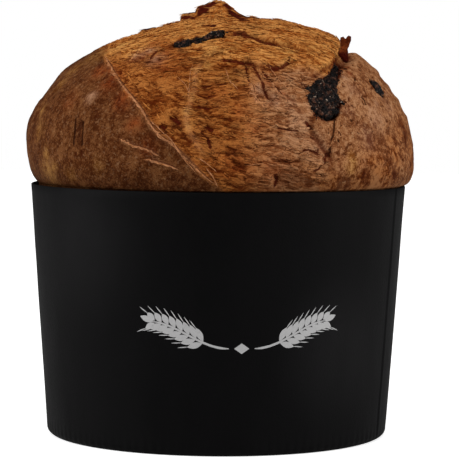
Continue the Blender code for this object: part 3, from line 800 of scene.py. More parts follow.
def strand_headings(points, normals):
    """The way the dough's strands run at each point: level, and along the long folds near them."""
    level = np.cross((0.0, 0.0, 1.0), normals)
    level[np.abs(normals[:, 2]) > 0.75] = (1.0, 0.0, 0.0)
    lengths = np.linalg.norm(level, axis=1, keepdims=True)
    level *= np.where(level[:, :1] < 0, -1.0, 1.0) / np.maximum(1e-6, lengths)
    headings = level + (0.0, 0.0, -0.12)
    for stops in (RIDGES[0][0], RIDGES[7][0]):
        fold = Route(stops)
        nearest, distance = fold.nearest(points)
        along = fold.headings * (1 if fold.headings[0][0] > 0 else -1)
        headings += 2.2 * np.exp(-((distance / 0.011) ** 2))[:, None] * along[nearest]
    headings -= normals * (headings * normals).sum(1, keepdims=True)
    return headings / np.linalg.norm(headings, axis=1, keepdims=True)


def tear_crust(points, normals, headings, ragged, right):
    """Cuts the tears of the torn dough, lays its strands and pricks the pits of the smooth lobes."""
    draw = random.Random(5)
    strokes = Strokes(points)
    above = np.flatnonzero(points[:, 2] > CASE_HEIGHT + 2 * MM)
    patches = 0.55 + 0.9 * noise_at(points, 0.016)
    for kind, (count, length, width, depth, curl) in STROKES.items():
        for _ in range(count):
            i = above[draw.randrange(len(above))]
            share = 0.18 + 0.8 * right[i] if kind == "pit" else ragged[i] * patches[i]
            size, turn = draw.random() ** 2, draw.gauss(0, 0.20)
            if draw.random() > share:
                continue
            if kind == "pit":
                turn = draw.uniform(-1.6, 1.6)
            heading = headings[i] * math.cos(turn) + np.cross(normals[i], headings[i]) * math.sin(turn)
            spread = draw.random() if kind == "strand" else size
            bend = draw.uniform(-curl, curl) if curl else 0.0
            shape = (length[0] + length[1] * size, width[0] + width[1] * spread, depth[0] + depth[1] * size)
            strokes.draw(points[i], heading, normals[i], *shape, bend)
    return strokes


def chocolate_line(name, steps):
    """The line of a piece of chocolate on the smooth crust, and its half width along it."""
    stops, half_widths, half_thickness, depth = CHOCOLATE[name]
    line = smooth_line([on_crust(*stop) for stop in stops], steps)
    return line, widths_along(half_widths, steps), half_thickness * MM, depth * MM


def pockets(points):
    """How deep the crust gives way under each piece of chocolate, in metres, and the share at its edge that
    the material darkens as painted shade.
    """
    depth, edge = np.zeros(len(points)), np.zeros(len(points))
    for name in CHOCOLATE:
        line, widths, thickness, _ = chocolate_line(name, 8)
        route = Route(CHOCOLATE[name][0])
        nearest, distance = route.nearest(points)
        past_end = np.abs(((points - line[nearest]) * route.headings[nearest]).sum(1))
        share = distance / widths[nearest] + past_end / (2.5 * MM)
        depth = np.maximum(depth, (thickness + 1.4 * MM) * smooth_step((0.88 - share) / 0.25))
        edge = np.maximum(edge, smooth_step((1.02 - share) / 0.15))
    return depth, edge


def blurred(values, edges, rounds):
    """Values averaged over their neighbours a number of times."""
    first, second = edges.T
    count = np.bincount(first, minlength=len(values)) + np.bincount(second, minlength=len(values)) + 1.0
    for _ in range(rounds):
        total = values.copy()
        total += np.bincount(first, values[second], len(values))
        total += np.bincount(second, values[first], len(values))
        values = total / count
    return values


def new_mesh(name, points, faces):
    """A mesh from points and faces, turned to face outwards."""
    mesh = bpy.data.meshes.new(name)
    mesh.from_pydata([tuple(point) for point in points], [], faces)
    face_outwards(mesh)
    mesh.shade_smooth()
    return mesh


def capped_mesh(name, rings):
    """A closed mesh through rings of points, and its points."""
    points = np.vstack([*rings, rings[0].mean(0)[None], rings[-1].mean(0)[None]])
    return new_mesh(name, points, ringed_faces([len(ring) for ring in rings])), points


def vertex_vectors(mesh, key):
    """The places or the normals of a mesh's vertices."""
    values = np.zeros(len(mesh.vertices) * 3)
    mesh.vertices.foreach_get(key, values)
    return values.reshape(-1, 3)


def push_out(mesh, points, depths):
    """Moves each of a mesh's points along its normal."""
    moved = points + vertex_vectors(mesh, "normal") * depths[:, None]
    mesh.vertices.foreach_set("co", moved.ravel())
    mesh.update()


def evaluated_mesh(obj):
    """The plain mesh that an object's modifiers make. They are removed."""
    graph = bpy.context.evaluated_depsgraph_get()
    mesh = bpy.data.meshes.new_from_object(obj.evaluated_get(graph))
    obj.modifiers.clear()
    return mesh


def new_object(name, mesh, material=None):
    """Adds an object for a mesh."""
    obj = bpy.data.objects.new(name, mesh)
    bpy.context.scene.collection.objects.link(obj)
    if material:
        mesh.materials.append(material)
    return obj


def ready(obj, slot, *nodes):
    """Makes a finished piece ride on the part's only body, in the place of these solids."""
    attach(obj, "root")
    if nodes:
        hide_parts(*nodes)


def store(mesh, name, values):
    """Keeps a number or a vector for each vertex."""
    values = np.asarray(values, np.float32)
    kind, key = ("FLOAT", "value") if values.ndim == 1 else ("FLOAT_VECTOR", "vector")
    mesh.attributes.new(name, kind, "POINT").data.foreach_set(key, values.ravel())


def narrow_folds():
    """Routes of the narrow folds, with the half width of the threads along them."""
    return [(stops, THREAD_HALF_WIDTH) for stops, _, half_width in RIDGES if half_width < NARROW_RIDGE]


def low_share(heights):
    """1 on the crust just above the case, for heights in metres: where the material lays painted shade and
    browner baking.
    """
    return smooth_step((LOW_TOP - heights / MM) / LOW_REACH)


def flow_places(points):
    """Coordinates in which the dough's strands run along the first axis: they arch over both sides."""
    x, y, z = points.T
    return np.stack([0.2 * x, 0.45 * y, z + ARCH * x**2], -1)


def build_loaf(settings):
    """The loaf: folds, torn strands, tears and pits as real relief, and the marks that colour them."""
    rings, exposed = crust_grid()
    counts = [len(ring) for ring in rings]
    points = np.vstack(rings)
    shown = np.repeat(exposed, counts)
    crust = points[shown]
    normals = dome_normals(crust)
    headings = strand_headings(crust, normals)
    lift, ridge, crease = relief(crust)
    torn, cap, right = regions(crust)
    calm = calm_share(crust)
    ragged = np.maximum(torn, cap) * (1 - 0.75 * calm)
    strokes = tear_crust(crust, normals, headings, ragged, right)
    slit_side, slit_near, slit_cut = line_marks(crust, SLITS)
    fold_side, fold_near, _ = line_marks(crust, narrow_folds())
    strands = np.stack([crust[:, 0] / 7, crust[:, 1], crust[:, 2] + ARCH * crust[:, 0] ** 2], -1)
    weave, lumps, grain = noise_at(strands, 0.0022), noise_at(crust, 0.006), noise_at(crust, 0.0019)
    fine = 0.20 * MM * ragged * weave + 0.25 * MM * ragged * lumps + (0.12 + 0.05 * right) * MM * grain
    fine += 0.18 * MM * (1 - ragged) * lumps
    fine += settings.strand_depth * strokes.lift
    fine -= SLIT_DEPTH * MM * slit_cut
    sunk, edge = pockets(crust)
    clear_of_case = smooth_step((crust[:, 2] - CASE_HEIGHT - CLEARANCE) / (6 * MM))
    height = (lift + fine * (1 - smooth_step(sunk / MM))) * clear_of_case
    points[shown] += normals * (height - sunk)[:, None]
    ends = [points[: counts[0]].mean(0), points[len(points) - counts[-1] :].mean(0)]
    mesh = new_mesh("loaf_crust", np.vstack([points, ends]), ringed_faces(counts))

    def everywhere(values):
        """Values of the crust's points, with 0 for the rest of the mesh."""
        full = np.zeros((len(mesh.vertices), *values.shape[1:]))
        full[: len(points)][shown] = values
        return full

    edges = np.zeros(len(mesh.edges) * 2, int)
    mesh.edges.foreach_get("vertices", edges)
    whole = everywhere(height)
    raised = (whole - blurred(whole, edges.reshape(-1, 2), BLUR_ROUNDS)) / (RAISED_STEP * MM)
    level = (vertex_vectors(mesh, "normal")[: len(points)][shown] * normals).sum(1)
    laid = ragged * smooth_step((crust[:, 2] / MM - 116) / 3)
    marks = {
        "torn": torn,
        "cap": cap,
        "right": right,
        "ridge": ridge,
        "calm": calm,
        "rim": edge * smooth_step(1.6 - sunk / (1.2 * MM)),
        # Painted shade in the furrows, under the standing sheet edges and round the chocolate
        "crease": np.maximum(crease, edge),
        "slit_side": slit_side,
        "slit_near": slit_near,
        "fold_side": fold_side,
        "fold_near": fold_near,
        "crest": crest_darkness(crust),
        "rosy": np.maximum(right, torn * smooth_step((crust[:, 0] / MM - 4) / 26) * (1 - cap)),
        "low": low_share(crust[:, 2]),
        # Painted shade of the cut tears and pits, and painted highlight of the laid strands
        "tear": strokes.dark,
        "strand": strokes.pale,
        "ragged": laid * (1 - edge) * smooth_step((level - 0.72) / 0.2),
        "heading": headings,
        "flow": flow_places(crust),
        **{name: stained(crust, stains) for name, stains in STAINS_AND_SHADE.items()},
    }
    for name, values in marks.items():
        store(mesh, name, everywhere(values))
    # Relief against the blurred neighbours: the material reads it as painted shade in hollows and painted
    # highlight on raised points
    store(mesh, "height", np.clip(raised, -1.5, 1.5))
    return new_object("loaf_crust", mesh, crust_material(settings))


# Node helpers


class Wire:
    """A link in a node tree. Sums, products and the like of wires and numbers become math nodes."""

    def __init__(self, tree, socket):
        self.tree = tree
        self.socket = socket

    def math(self, operation, *others, clamp=False):
        """The result of a math node on this wire and other values."""
        return calculate(self.tree, operation, self, *others, clamp=clamp)

    def between(self, low, high):
        """0 to 1 as this wire goes from low to high, flat at both ends."""
        inputs = {"Value": self, "From Min": low, "From Max": high}
        return wire(self.tree, "ShaderNodeMapRange", inputs, interpolation_type="SMOOTHSTEP")

    def __add__(self, other):
        return self.math("ADD", other)

    def __sub__(self, other):
        return self.math("SUBTRACT", other)

    def __mul__(self, other):
        return self.math("MULTIPLY", other)

    def __truediv__(self, other):
        return self.math("DIVIDE", other)

    def __rsub__(self, other):
        return calculate(self.tree, "SUBTRACT", other, self)

    def __rtruediv__(self, other):
        return calculate(self.tree, "DIVIDE", other, self)

    __radd__ = __add__
    __rmul__ = __mul__


def add(tree, kind, inputs=None, **options):
    """Adds a node. Inputs are given by name or number, each as a value or as the wire that feeds it."""
    node = tree.nodes.new(kind)
    for key, value in options.items():
        setattr(node, key, value)
    for key, value in (inputs or {}).items():
        if isinstance(value, Wire):
            tree.links.new(value.socket, node.inputs[key])
        else:
            node.inputs[key].default_value = value
    return node


def wire(tree, kind, inputs=None, output=0, **options):
    """What a new node puts out."""
    return Wire(tree, add(tree, kind, inputs, **options).outputs[output])


def vector(tree, x, y, z):
    """A vector of three numbers."""
    return wire(tree, "ShaderNodeCombineXYZ", {0: x, 1: y, 2: z})


def parts(tree, place):
    """The three numbers of a vector."""
    return [Wire(tree, output) for output in add(tree, "ShaderNodeSeparateXYZ", {0: place}).outputs]


def scaled(tree, place, scale):
    """A vector times a number."""
    return wire(tree, "ShaderNodeVectorMath", {0: place, "Scale": scale}, operation="SCALE")


def object_place(tree):
    """The object's own coordinates."""
    return wire(tree, "ShaderNodeTexCoord", output="Object")


def blend(tree, share, first, second, kind="MIX"):
    """Two colours mixed by a share."""
    first, second = (colour if isinstance(colour, Wire) else flat(colour) for colour in (first, second))
    return wire(tree, "ShaderNodeMix", {0: share, 6: first, 7: second}, 2, data_type="RGBA", blend_type=kind)


def layered(tree, colour, *layers):
    """A colour under others, each laid on it by a share."""
    for share, layer in layers:
        colour = blend(tree, share, colour, layer)
    return colour


def calculate(tree, operation, *values, clamp=False):
    """The result of a math node."""
    return wire(tree, "ShaderNodeMath", dict(enumerate(values)), operation=operation, use_clamp=clamp)


def attribute(tree, name):
    """A value kept on the mesh, in a material."""
    return wire(tree, "ShaderNodeAttribute", output="Fac", attribute_name=name)


def noise_texture(tree, place, size, detail=2.0, roughness=0.5):
    """Noise from 0 to 1 whose lumps are about a size in metres."""
    inputs = {"Vector": place, "Scale": 1 / size, "Detail": detail, "Roughness": roughness}
    return wire(tree, "ShaderNodeTexNoise", inputs)


def flat(colour):
    """A colour with full alpha."""
    return (*colour, 1.0)


def grain_group():
    """Shared fine grain: a soft grain and sparse specks, from object coordinates."""
    known = bpy.data.node_groups.get("Fine grain")
    if known:
        return known
    tree = bpy.data.node_groups.new("Fine grain", "ShaderNodeTree")
    ways = {"Size": "INPUT", "Speck Threshold": "INPUT", "Grain": "OUTPUT", "Specks": "OUTPUT"}
    for name, way in ways.items():
        tree.interface.new_socket(name, in_out=way, socket_type="NodeSocketFloat")
    start = tree.nodes.new("NodeGroupInput").outputs
    scale, threshold = 1.0 / Wire(tree, start["Size"]), Wire(tree, start["Speck Threshold"])
    place = object_place(tree)
    inputs = {"Vector": place, "Scale": scale, "Detail": 4.0, "Roughness": 0.6}
    soft = wire(tree, "ShaderNodeTexNoise", inputs)
    inputs = {"Vector": place, "Scale": scale * 0.42, "Detail": 1.0, "Roughness": 0.4}
    specks = wire(tree, "ShaderNodeTexNoise", inputs).between(threshold, threshold + 0.08)
    add(tree, "NodeGroupOutput", {"Grain": soft, "Specks": specks})
    return tree


def grain(tree, size, threshold=0.66):
    """The shared grain in a material: its grain and its specks."""
    node = add(tree, "ShaderNodeGroup", node_tree=grain_group())
    node.inputs["Size"].default_value = size
    node.inputs["Speck Threshold"].default_value = threshold
    return Wire(tree, node.outputs["Grain"]), Wire(tree, node.outputs["Specks"])


def shared_material(name):
    """Lets a function build its material once, so that all pieces share it."""

    def decorate(build):
        def fetch(settings):
            return bpy.data.materials.get(name) or build(name, settings)

        return fetch

    return decorate


def new_material(name, colour, roughness):
    """A material, its tree and its Principled shader."""
    material = bpy.data.materials.new(name)
    material.use_nodes = True
    material.diffuse_color = flat(colour)
    shader = material.node_tree.nodes["Principled BSDF"]
    shader.inputs["Base Color"].default_value = flat(colour)
    shader.inputs["Roughness"].default_value = roughness
    return material, material.node_tree, shader


def finish_surface(tree, shader, colour, rough, height, strength, depth, specular=0.5):
    """Feeds a shader its colour, roughness and bumps, whose depth is in metres."""
    bumps = wire(tree, "ShaderNodeBump", {"Strength": strength, "Distance": depth, "Height": height})
    for name, value in (("Base Color", colour), ("Roughness", rough), ("Normal", bumps)):
        tree.links.new(value.socket, shader.inputs[name])
    shader.inputs["Specular IOR Level"].default_value = specular


def shades(settings, name):
    """The colours of one part, from dark to pale."""
    names = [f"{name}_{tone}" for tone in ("dark", "middle", "pale")]
    return [getattr(settings, title) for title in names if hasattr(settings, title)]


def tone_colour(tree, tone, colours):
    """A colour from dark over middle to pale as a tone goes from 0 to 1."""
    dark, middle, pale = colours
    lower = blend(tree, tone.math("MULTIPLY", 2.0, clamp=True), dark, middle)
    return blend(tree, tone.math("MULTIPLY_ADD", 2.0, -1.0, clamp=True), lower, pale)


def thin_lines(pattern, width):
    """1 along the thin lines where a noise passes its middle value."""
    return 1 - (pattern - 0.5).math("ABSOLUTE").between(0.25 * width, width)


def drawn_line(side, near, low, high):
    """1 where a signed place across a drawn line lies between two values, with soft edges."""
    above, below = (side.between(limit - 0.35, limit + 0.35) for limit in (low, high))
    return above * (1 - below) * near


@shared_material("baked_crust")
def crust_material(name, settings):
    """Baked crust: dull skin, golden torn strands, a rosy right lobe, stains, thin slits and pale folds."""
    material, tree, shader = new_material(name, settings.torn_pale, 0.7)
    place = object_place(tree)
    flow = wire(tree, "ShaderNodeAttribute", output="Vector", attribute_name="flow")
    warp = wire(tree, "ShaderNodeTexNoise", {"Vector": place, "Scale": 110.0, "Detail": 2.0}, 1)
    flow = wire(tree, "ShaderNodeVectorMath", {0: flow, 1: scaled(tree, warp, 0.005)}, operation="ADD")
    streaks = noise_texture(tree, flow, 0.00055, 2.0, 0.6)
    bands = noise_texture(tree, flow, 0.0014, 2.0, 0.55)
    sheets = noise_texture(tree, flow, 0.0045, 3.0, 0.6)
    mottle = noise_texture(tree, place, 0.010, 3.0, 0.6)
    patches = noise_texture(tree, place, 0.0022, 3.0, 0.7)
    spots = noise_texture(tree, place, 0.0016, 2.0, 0.6)
    soft, specks = grain(tree, 0.0006, 0.62)
    marks = SimpleNamespace(**{mark: attribute(tree, mark) for mark in (*CRUST_MARKS, *STAINS_AND_SHADE)})
    ragged = marks.torn.math("MAXIMUM", marks.cap)

    # marks.height adds painted shade in hollows and painted highlight on raised points, here and in the fibre
    # tone
    skin_tone = 0.8 * mottle + 1.1 * patches + soft + 0.07 * marks.height + 0.3 * marks.tone
    skin_tone = skin_tone.between(1.18, 1.72)
    left, right = (tone_colour(tree, skin_tone, shades(settings, part)) for part in ("skin", "rosy"))
    # Pores: small dents in the bump, darkened as painted shade
    pores = (1.0 - spots.between(0.30, 0.37)) * (0.65 * marks.right + 0.25)
    skin = layered(
        tree, left,
        (marks.right, right),
        (0.30 * specks, settings.fleck_colour),
        (spots.between(0.60, 0.72) * (0.55 * marks.right + 0.2), settings.cream_colour),
        (pores, settings.tear_colour),
    )

    # Laid strands lighten and cut tears darken the fibres: painted highlight and painted shade
    strands = 1.2 * streaks + bands + 0.10 * marks.strand - 0.12 * marks.tear
    smooth = 1.3 * patches + 0.9 * soft
    strands = strands + 0.7 * marks.calm * (smooth - strands)
    fibre_tone = strands + 0.8 * sheets + mottle + 0.5 * soft + 0.10 * marks.height + 0.30 * marks.tone
    fibre_tone = fibre_tone.between(1.74, 2.60)
    coats = ("torn", "rosy", "cap")
    torn, rosy, cap = (tone_colour(tree, fibre_tone, shades(settings, part)) for part in coats)
    torn = layered(tree, torn, (marks.rosy, rosy), (marks.cap, cap))
    burnt = (1.1 * mottle + patches + 0.4 * soft).between(1.08, 1.44)
    burnt = tone_colour(tree, burnt, shades(settings, "ember"))
    colour = layered(tree, skin, (ragged, torn), (marks.ember, burnt))

    tone = skin_tone + ragged * (fibre_tone - skin_tone)
    # Stains; the dark ones are partly painted shade
    for mark, (part, strength) in STAIN_LOOKS.items():
        stain = blend(tree, tone, *shades(settings, part))
        colour = blend(tree, getattr(marks, mark) * strength, colour, stain)

    # Thin cracks: dents in the bump, darkened as painted shade
    cracks = thin_lines(bands, 0.030) * patches.between(0.46, 0.62) * ragged
    cracks = cracks.math("MAXIMUM", thin_lines(sheets, 0.012) * ragged)
    wander = 3.0 * patches - 1.5
    slits = drawn_line(marks.slit_side + wander, marks.slit_near, -0.9, 0.9)
    fold_side = 0.4 * wander + marks.fold_side
    fold = drawn_line(fold_side, marks.fold_near, -1.0, 1.0) * patches.between(0.20, 0.70)
    fold = fold.math("MAXIMUM", 0.22 * marks.ridge)
    colour = layered(
        tree, colour,
        ((marks.crest + 0.5 * patches).between(0.40, 0.85),
         blend(tree, tone, settings.crest_colour, settings.crease_colour)),
        # Painted shade in the cracks
        (0.65 * cracks, settings.tear_colour),
        # Painted shade in the cut tears and pits
        (marks.tear * (0.7 - 0.36 * ragged), settings.tear_colour),
        # Painted shade in the creases
        (0.85 * marks.crease, settings.crease_colour),
        # Painted shade in the slits, deep brown on the smooth skin and dark red on the torn dough
        (0.88 * slits, blend(tree, ragged, settings.shadow_dark, settings.crease_colour)),
        # Painted shadow beside each narrow fold
        (0.80 * drawn_line(fold_side, marks.fold_near, 1.1, 3.0), settings.tear_colour),
        # Painted highlight along the folds' crests
        (fold, settings.fold_colour),
    )
    # marks.low darkens the crust above the case: painted shade from the case and the undercut, and browner
    # baking
    bright = (1.0 - 0.34 * marks.low) * (0.15 * marks.tone + 1.0) * (0.22 * ragged + 1.0)
    grey = wire(tree, "ShaderNodeCombineColor", {0: bright, 1: bright, 2: bright})
    colour = blend(tree, 1.0, colour, grey, "MULTIPLY")

    rough = (0.3 * soft + 0.55).math("SUBTRACT", 0.15 * fold, clamp=True)
    height = streaks * (ragged + 0.1) + 0.7 * soft - 0.35 * cracks - 0.9 * slits + 0.8 * fold - 0.5 * pores
    finish_surface(tree, shader, colour, rough, height, 0.9, 0.0007, 0.02)
    return material


@shared_material("dark_chocolate")
def chocolate_material(name, settings):
    """Baked dark chocolate: near black, rough and granular, with small glints painted into its colour."""
    material, tree, shader = new_material(name, settings.chocolate_colour, 0.3)
    knobs = noise_texture(tree, object_place(tree), 0.0022, 3.0, 0.7)
    soft, specks = grain(tree, 0.00045, 0.66)
    colour = layered(
        tree, settings.chocolate_colour,
        ((0.10 * attribute(tree, "tone") + knobs).between(0.52, 0.68), settings.chocolate_brown),
        # Painted glints: pale specks in the colour of the chocolate's middle
        (specks * attribute(tree, "middle"), settings.chocolate_glint),
    )
    height = knobs + 0.3 * soft + 0.12 * specks
    finish_surface(tree, shader, colour, 0.6 * soft + 0.10, height, 0.9, 0.0009, 0.10)
    return material


@shared_material("black_paper")
def paper_material(name, settings):
    """Matte black baking paper with a fine tooth, and faint greyer patches of rubbed wear and painted sheen.
    """
    material, tree, shader = new_material(name, settings.paper_colour, 0.7)
    place = object_place(tree)
    soft, specks = grain(tree, 0.0009, 0.64)
    fibre = wire(tree, "ShaderNodeMapping", {"Vector": place, "Scale": (1.0, 1.0, 0.35)})
    cloud = noise_texture(tree, fibre, 0.030, 4.0, 0.6)
    tone = soft.math("MULTIPLY_ADD", 0.9, 1.3 * cloud - 0.55, clamp=True)
    colour = blend(tree, tone, settings.paper_colour, settings.paper_worn)
    # Greyer patches: rubbed wear, and painted sheen on the front's left and right
    for spot, reach, strength in RUBBED_AND_SHEEN_SPOTS:
        away = wire(tree, "ShaderNodeVectorMath", {0: place, 1: spot}, "Value", operation="DISTANCE")
        rubbed = (1.0 - away.between(0.1 * reach, reach)) * (cloud * strength)
        colour = blend(tree, rubbed, colour, settings.paper_rubbed_and_sheen)
    colour = blend(tree, 0.25 * specks, colour, settings.paper_worn)
    finish_surface(tree, shader, colour, 0.25 * cloud + 0.2 * soft + 0.38, soft, 0.35, 0.0003, 0.06)
    return material


@shared_material("grey_ink")
def ink_material(name, settings):
    """Pale grey ink printed on the paper, whose tooth shows through it."""
    material, tree, shader = new_material(name, settings.ink_colour, 0.55)
    soft, specks = grain(tree, 0.0009, 0.66)
    worn = (0.35 * specks).math("MAXIMUM", soft.math("MULTIPLY_ADD", 0.5, -0.12, clamp=True))
    darker = tuple(0.62 * value for value in settings.ink_colour)
    colour = blend(tree, worn, settings.ink_colour, darker)
    finish_surface(tree, shader, colour, 0.3 * soft + 0.42, soft, 0.3, 0.0002)
    return material


# Geometry Nodes helpers


def geometry_tree(name, inputs):
    """A geometry tree with named inputs, the wires that give them, and their identifiers and values."""
    tree = bpy.data.node_groups.new(name, "GeometryNodeTree")
    tree.interface.new_socket("Geometry", in_out="INPUT", socket_type="NodeSocketGeometry")
    tree.interface.new_socket("Geometry", in_out="OUTPUT", socket_type="NodeSocketGeometry")
    values = {}
    for label, value in inputs.items():
        kind = "NodeSocketInt" if isinstance(value, int) else "NodeSocketFloat"
        socket = tree.interface.new_socket(label, in_out="INPUT", socket_type=kind)
        socket.default_value = value
        values[socket.identifier] = value
    outputs = tree.nodes.new("NodeGroupInput").outputs
    return tree, {output.name: Wire(tree, output) for output in outputs}, values


def finish_tree(tree, geometry, material, smooth=True):
    """Ends a tree in plain geometry with its material."""
    if smooth:
        geometry = wire(tree, "GeometryNodeSetShadeSmooth", {"Geometry": geometry})
    real = wire(tree, "GeometryNodeRealizeInstances", {0: geometry})
    painted = wire(tree, "GeometryNodeSetMaterial", {"Geometry": real, "Material": material})
    add(tree, "NodeGroupOutput", {0: painted})


def run_tree(name, base, tree, values):
    """The plain object that a geometry tree makes from a base mesh."""
    source = new_object(f"{name}_source", base)
    modifier = source.modifiers.new("Shape", "NODES")
    modifier.node_group = tree
    for identifier, value in values.items():
        modifier[identifier] = value
    mesh = evaluated_mesh(source)
    mesh.name = name
    bpy.data.objects.remove(source)
    if not mesh.polygons:
        raise RuntimeError(f"{name} came out empty")
    return new_object(name, mesh)


def case_profile(settings):
    """The case's section as a line of points from the middle of its foot, round the outside, over the rim and
    down the inside, with a mark on the outside points."""
    height, rim, foot, paper = settings.case_height, settings.rim_radius, settings.foot_radius, settings.paper
    corner, inside, rounding = FOOT_CORNER, FOOT_CORNER - paper, 0.5 * paper

    def wall(z):
        return foot + (rim - foot) * z / height

    outer = [(0.0, 0.0), (0.5 * foot, 0.0)]
    for turn in np.radians(np.linspace(0, 90, 9)):
        outer.append((wall(corner) - corner * (1 - math.sin(turn)), corner * (1 - math.cos(turn))))
    rows = np.linspace(corner, height - 0.3 * paper, 34)[1:]
    outer += [(wall(z), z) for z in rows]
    rim_points = []
    for turn in np.radians((45, 90, 135)):
        rim_points.append((wall(height) - rounding + rounding * math.cos(turn),
                           height - rounding + rounding * math.sin(turn)))
    inner = [(wall(z) - paper, z) for z in rows[::-1]]
    for turn in np.radians(np.linspace(90, 0, 7)):
        inner.append((wall(corner) - paper - inside * (1 - math.sin(turn)),
                      paper + inside * (1 - math.cos(turn))))
    inner += [(0.5 * foot, paper), (0.0, paper)]
    points = [*outer, *rim_points, *inner]
    mesh = bpy.data.meshes.new("case_profile")
    mesh.from_pydata([(r, 0.0, z) for r, z in points], [(i, i + 1) for i in range(len(points) - 1)], [])
    store(mesh, "outside", [1.0] * (len(outer) + 1) + [0.0] * (len(points) - len(outer) - 1))
    return mesh


def build_case(settings):
    """The paper case: its section turned round the axis, with pleats round the foot, soft dents in the wall
    and the glued overlap."""
    tree, given, values = geometry_tree("Paper cup", {
        "Sides": 640,
        "Pleats": settings.pleats,
        "Pleat Depth": settings.pleat_depth,
        "Pleat Height": 0.0075,
        "Dent Depth": settings.dent_depth,
        "Seam Start": math.radians(SEAM_AZIMUTH),
        "Seam Width": math.radians(SEAM_WIDTH),
        "Seam Step": SEAM_STEP,
    })
    section = given["Geometry"]
    rows = wire(tree, "GeometryNodeAttributeDomainSize", {0: section}, "Point Count")
    inputs = {"Size X": 1.0, "Size Y": 1.0, "Vertices X": given["Sides"] + 1.0, "Vertices Y": rows}
    sheet = wire(tree, "GeometryNodeMeshGrid", inputs, "Mesh")
    index = wire(tree, "GeometryNodeInputIndex")
    column = ((index + 0.5) / rows).math("FLOOR")
    row = (index - column * rows).math("ROUND")
    turn = column / given["Sides"] * math.tau

    def along_section(value, kind):
        """A value of the section's point in this row."""
        inputs = {"Geometry": section, "Index": row, "Value": value}
        return wire(tree, "GeometryNodeSampleIndex", inputs, data_type=kind)

    radius, _, height = parts(tree, along_section(wire(tree, "GeometryNodeInputPosition"), "FLOAT_VECTOR"))
    outside = along_section(named(tree, "outside"), "FLOAT")
    cosine, sine = turn.math("COSINE"), turn.math("SINE")
    on_wall = height.between(0.0005, 0.006)
    pleats = (turn * given["Pleats"]).math("COSINE") * (1.0 - height.between(0.0015, given["Pleat Height"]))
    pleats = pleats * given["Pleat Depth"] * height.between(0.0, 0.002)
    around = vector(tree, cosine, sine, height * 6.0)
    dents = wire(tree, "ShaderNodeTexNoise", {"Vector": around, "Scale": 2.3, "Detail": 2.0})
    dents = (dents - 0.55) * given["Dent Depth"] * (on_wall * 4.0)
    past = (turn - given["Seam Start"]).math("WRAP", math.tau, 0.0)
    seam = past.math("LESS_THAN", given["Seam Width"]) * outside * given["Seam Step"] * on_wall
    reach = radius + dents + (pleats + seam)
    target = vector(tree, reach * cosine, reach * sine, height)
    moved = wire(tree, "GeometryNodeSetPosition", {"Geometry": sheet, "Position": target})
    whole = wire(tree, "GeometryNodeMergeByDistance", {"Geometry": moved, "Distance": 1e-6})
    finish_tree(tree, whole, paper_material(settings))
    case = run_tree("baking_case", case_profile(settings), tree, values)
    face_outwards(case.data)
    return case


def face_outwards(mesh):
    """Turns the faces of closed bodies outwards."""
    shell = bmesh.new()
    shell.from_mesh(mesh)
    bmesh.ops.recalc_face_normals(shell, faces=shell.faces)
    shell.to_mesh(mesh)
    shell.free()


def leaf_outline(start, heading, length, half_width, steps=6):
    """Centre points and half widths of a pointed leaf on the flat of the wall."""
    shares = np.linspace(0, 1, steps + 1)
    centres = np.array(start) + np.outer(shares * length, heading)
    return centres, half_width * np.sin(math.pi * np.clip(shares, 0.02, 0.98)) ** 0.8


def raised_strip(centres, half_widths, wall, height):
    """Points and faces of a thin closed strip on the wall, given in mm along it and above its foot."""
    along = directions(centres)
    side = np.stack([-along[:, 1], along[:, 0]], -1)
    points, faces = [], []
    for centre, across, half in zip(centres, side, half_widths):
        places = [centre + across * half * share for share in (-1, -0.4, 0.4, 1)]
        points += [wall(*place, height) for place in places]
        points += [wall(*place, -height) for place in places[::-1]]
    count = 2 * len(places)
    for first in range(0, (len(centres) - 1) * count, count):
        for i in range(count):
            j = (i + 1) % count
            faces.append((first + i, first + j, first + count + j, first + count + i))
    last = (len(centres) - 1) * count
    faces += [tuple(range(count))[::-1], tuple(last + i for i in range(count))]
    return points, faces


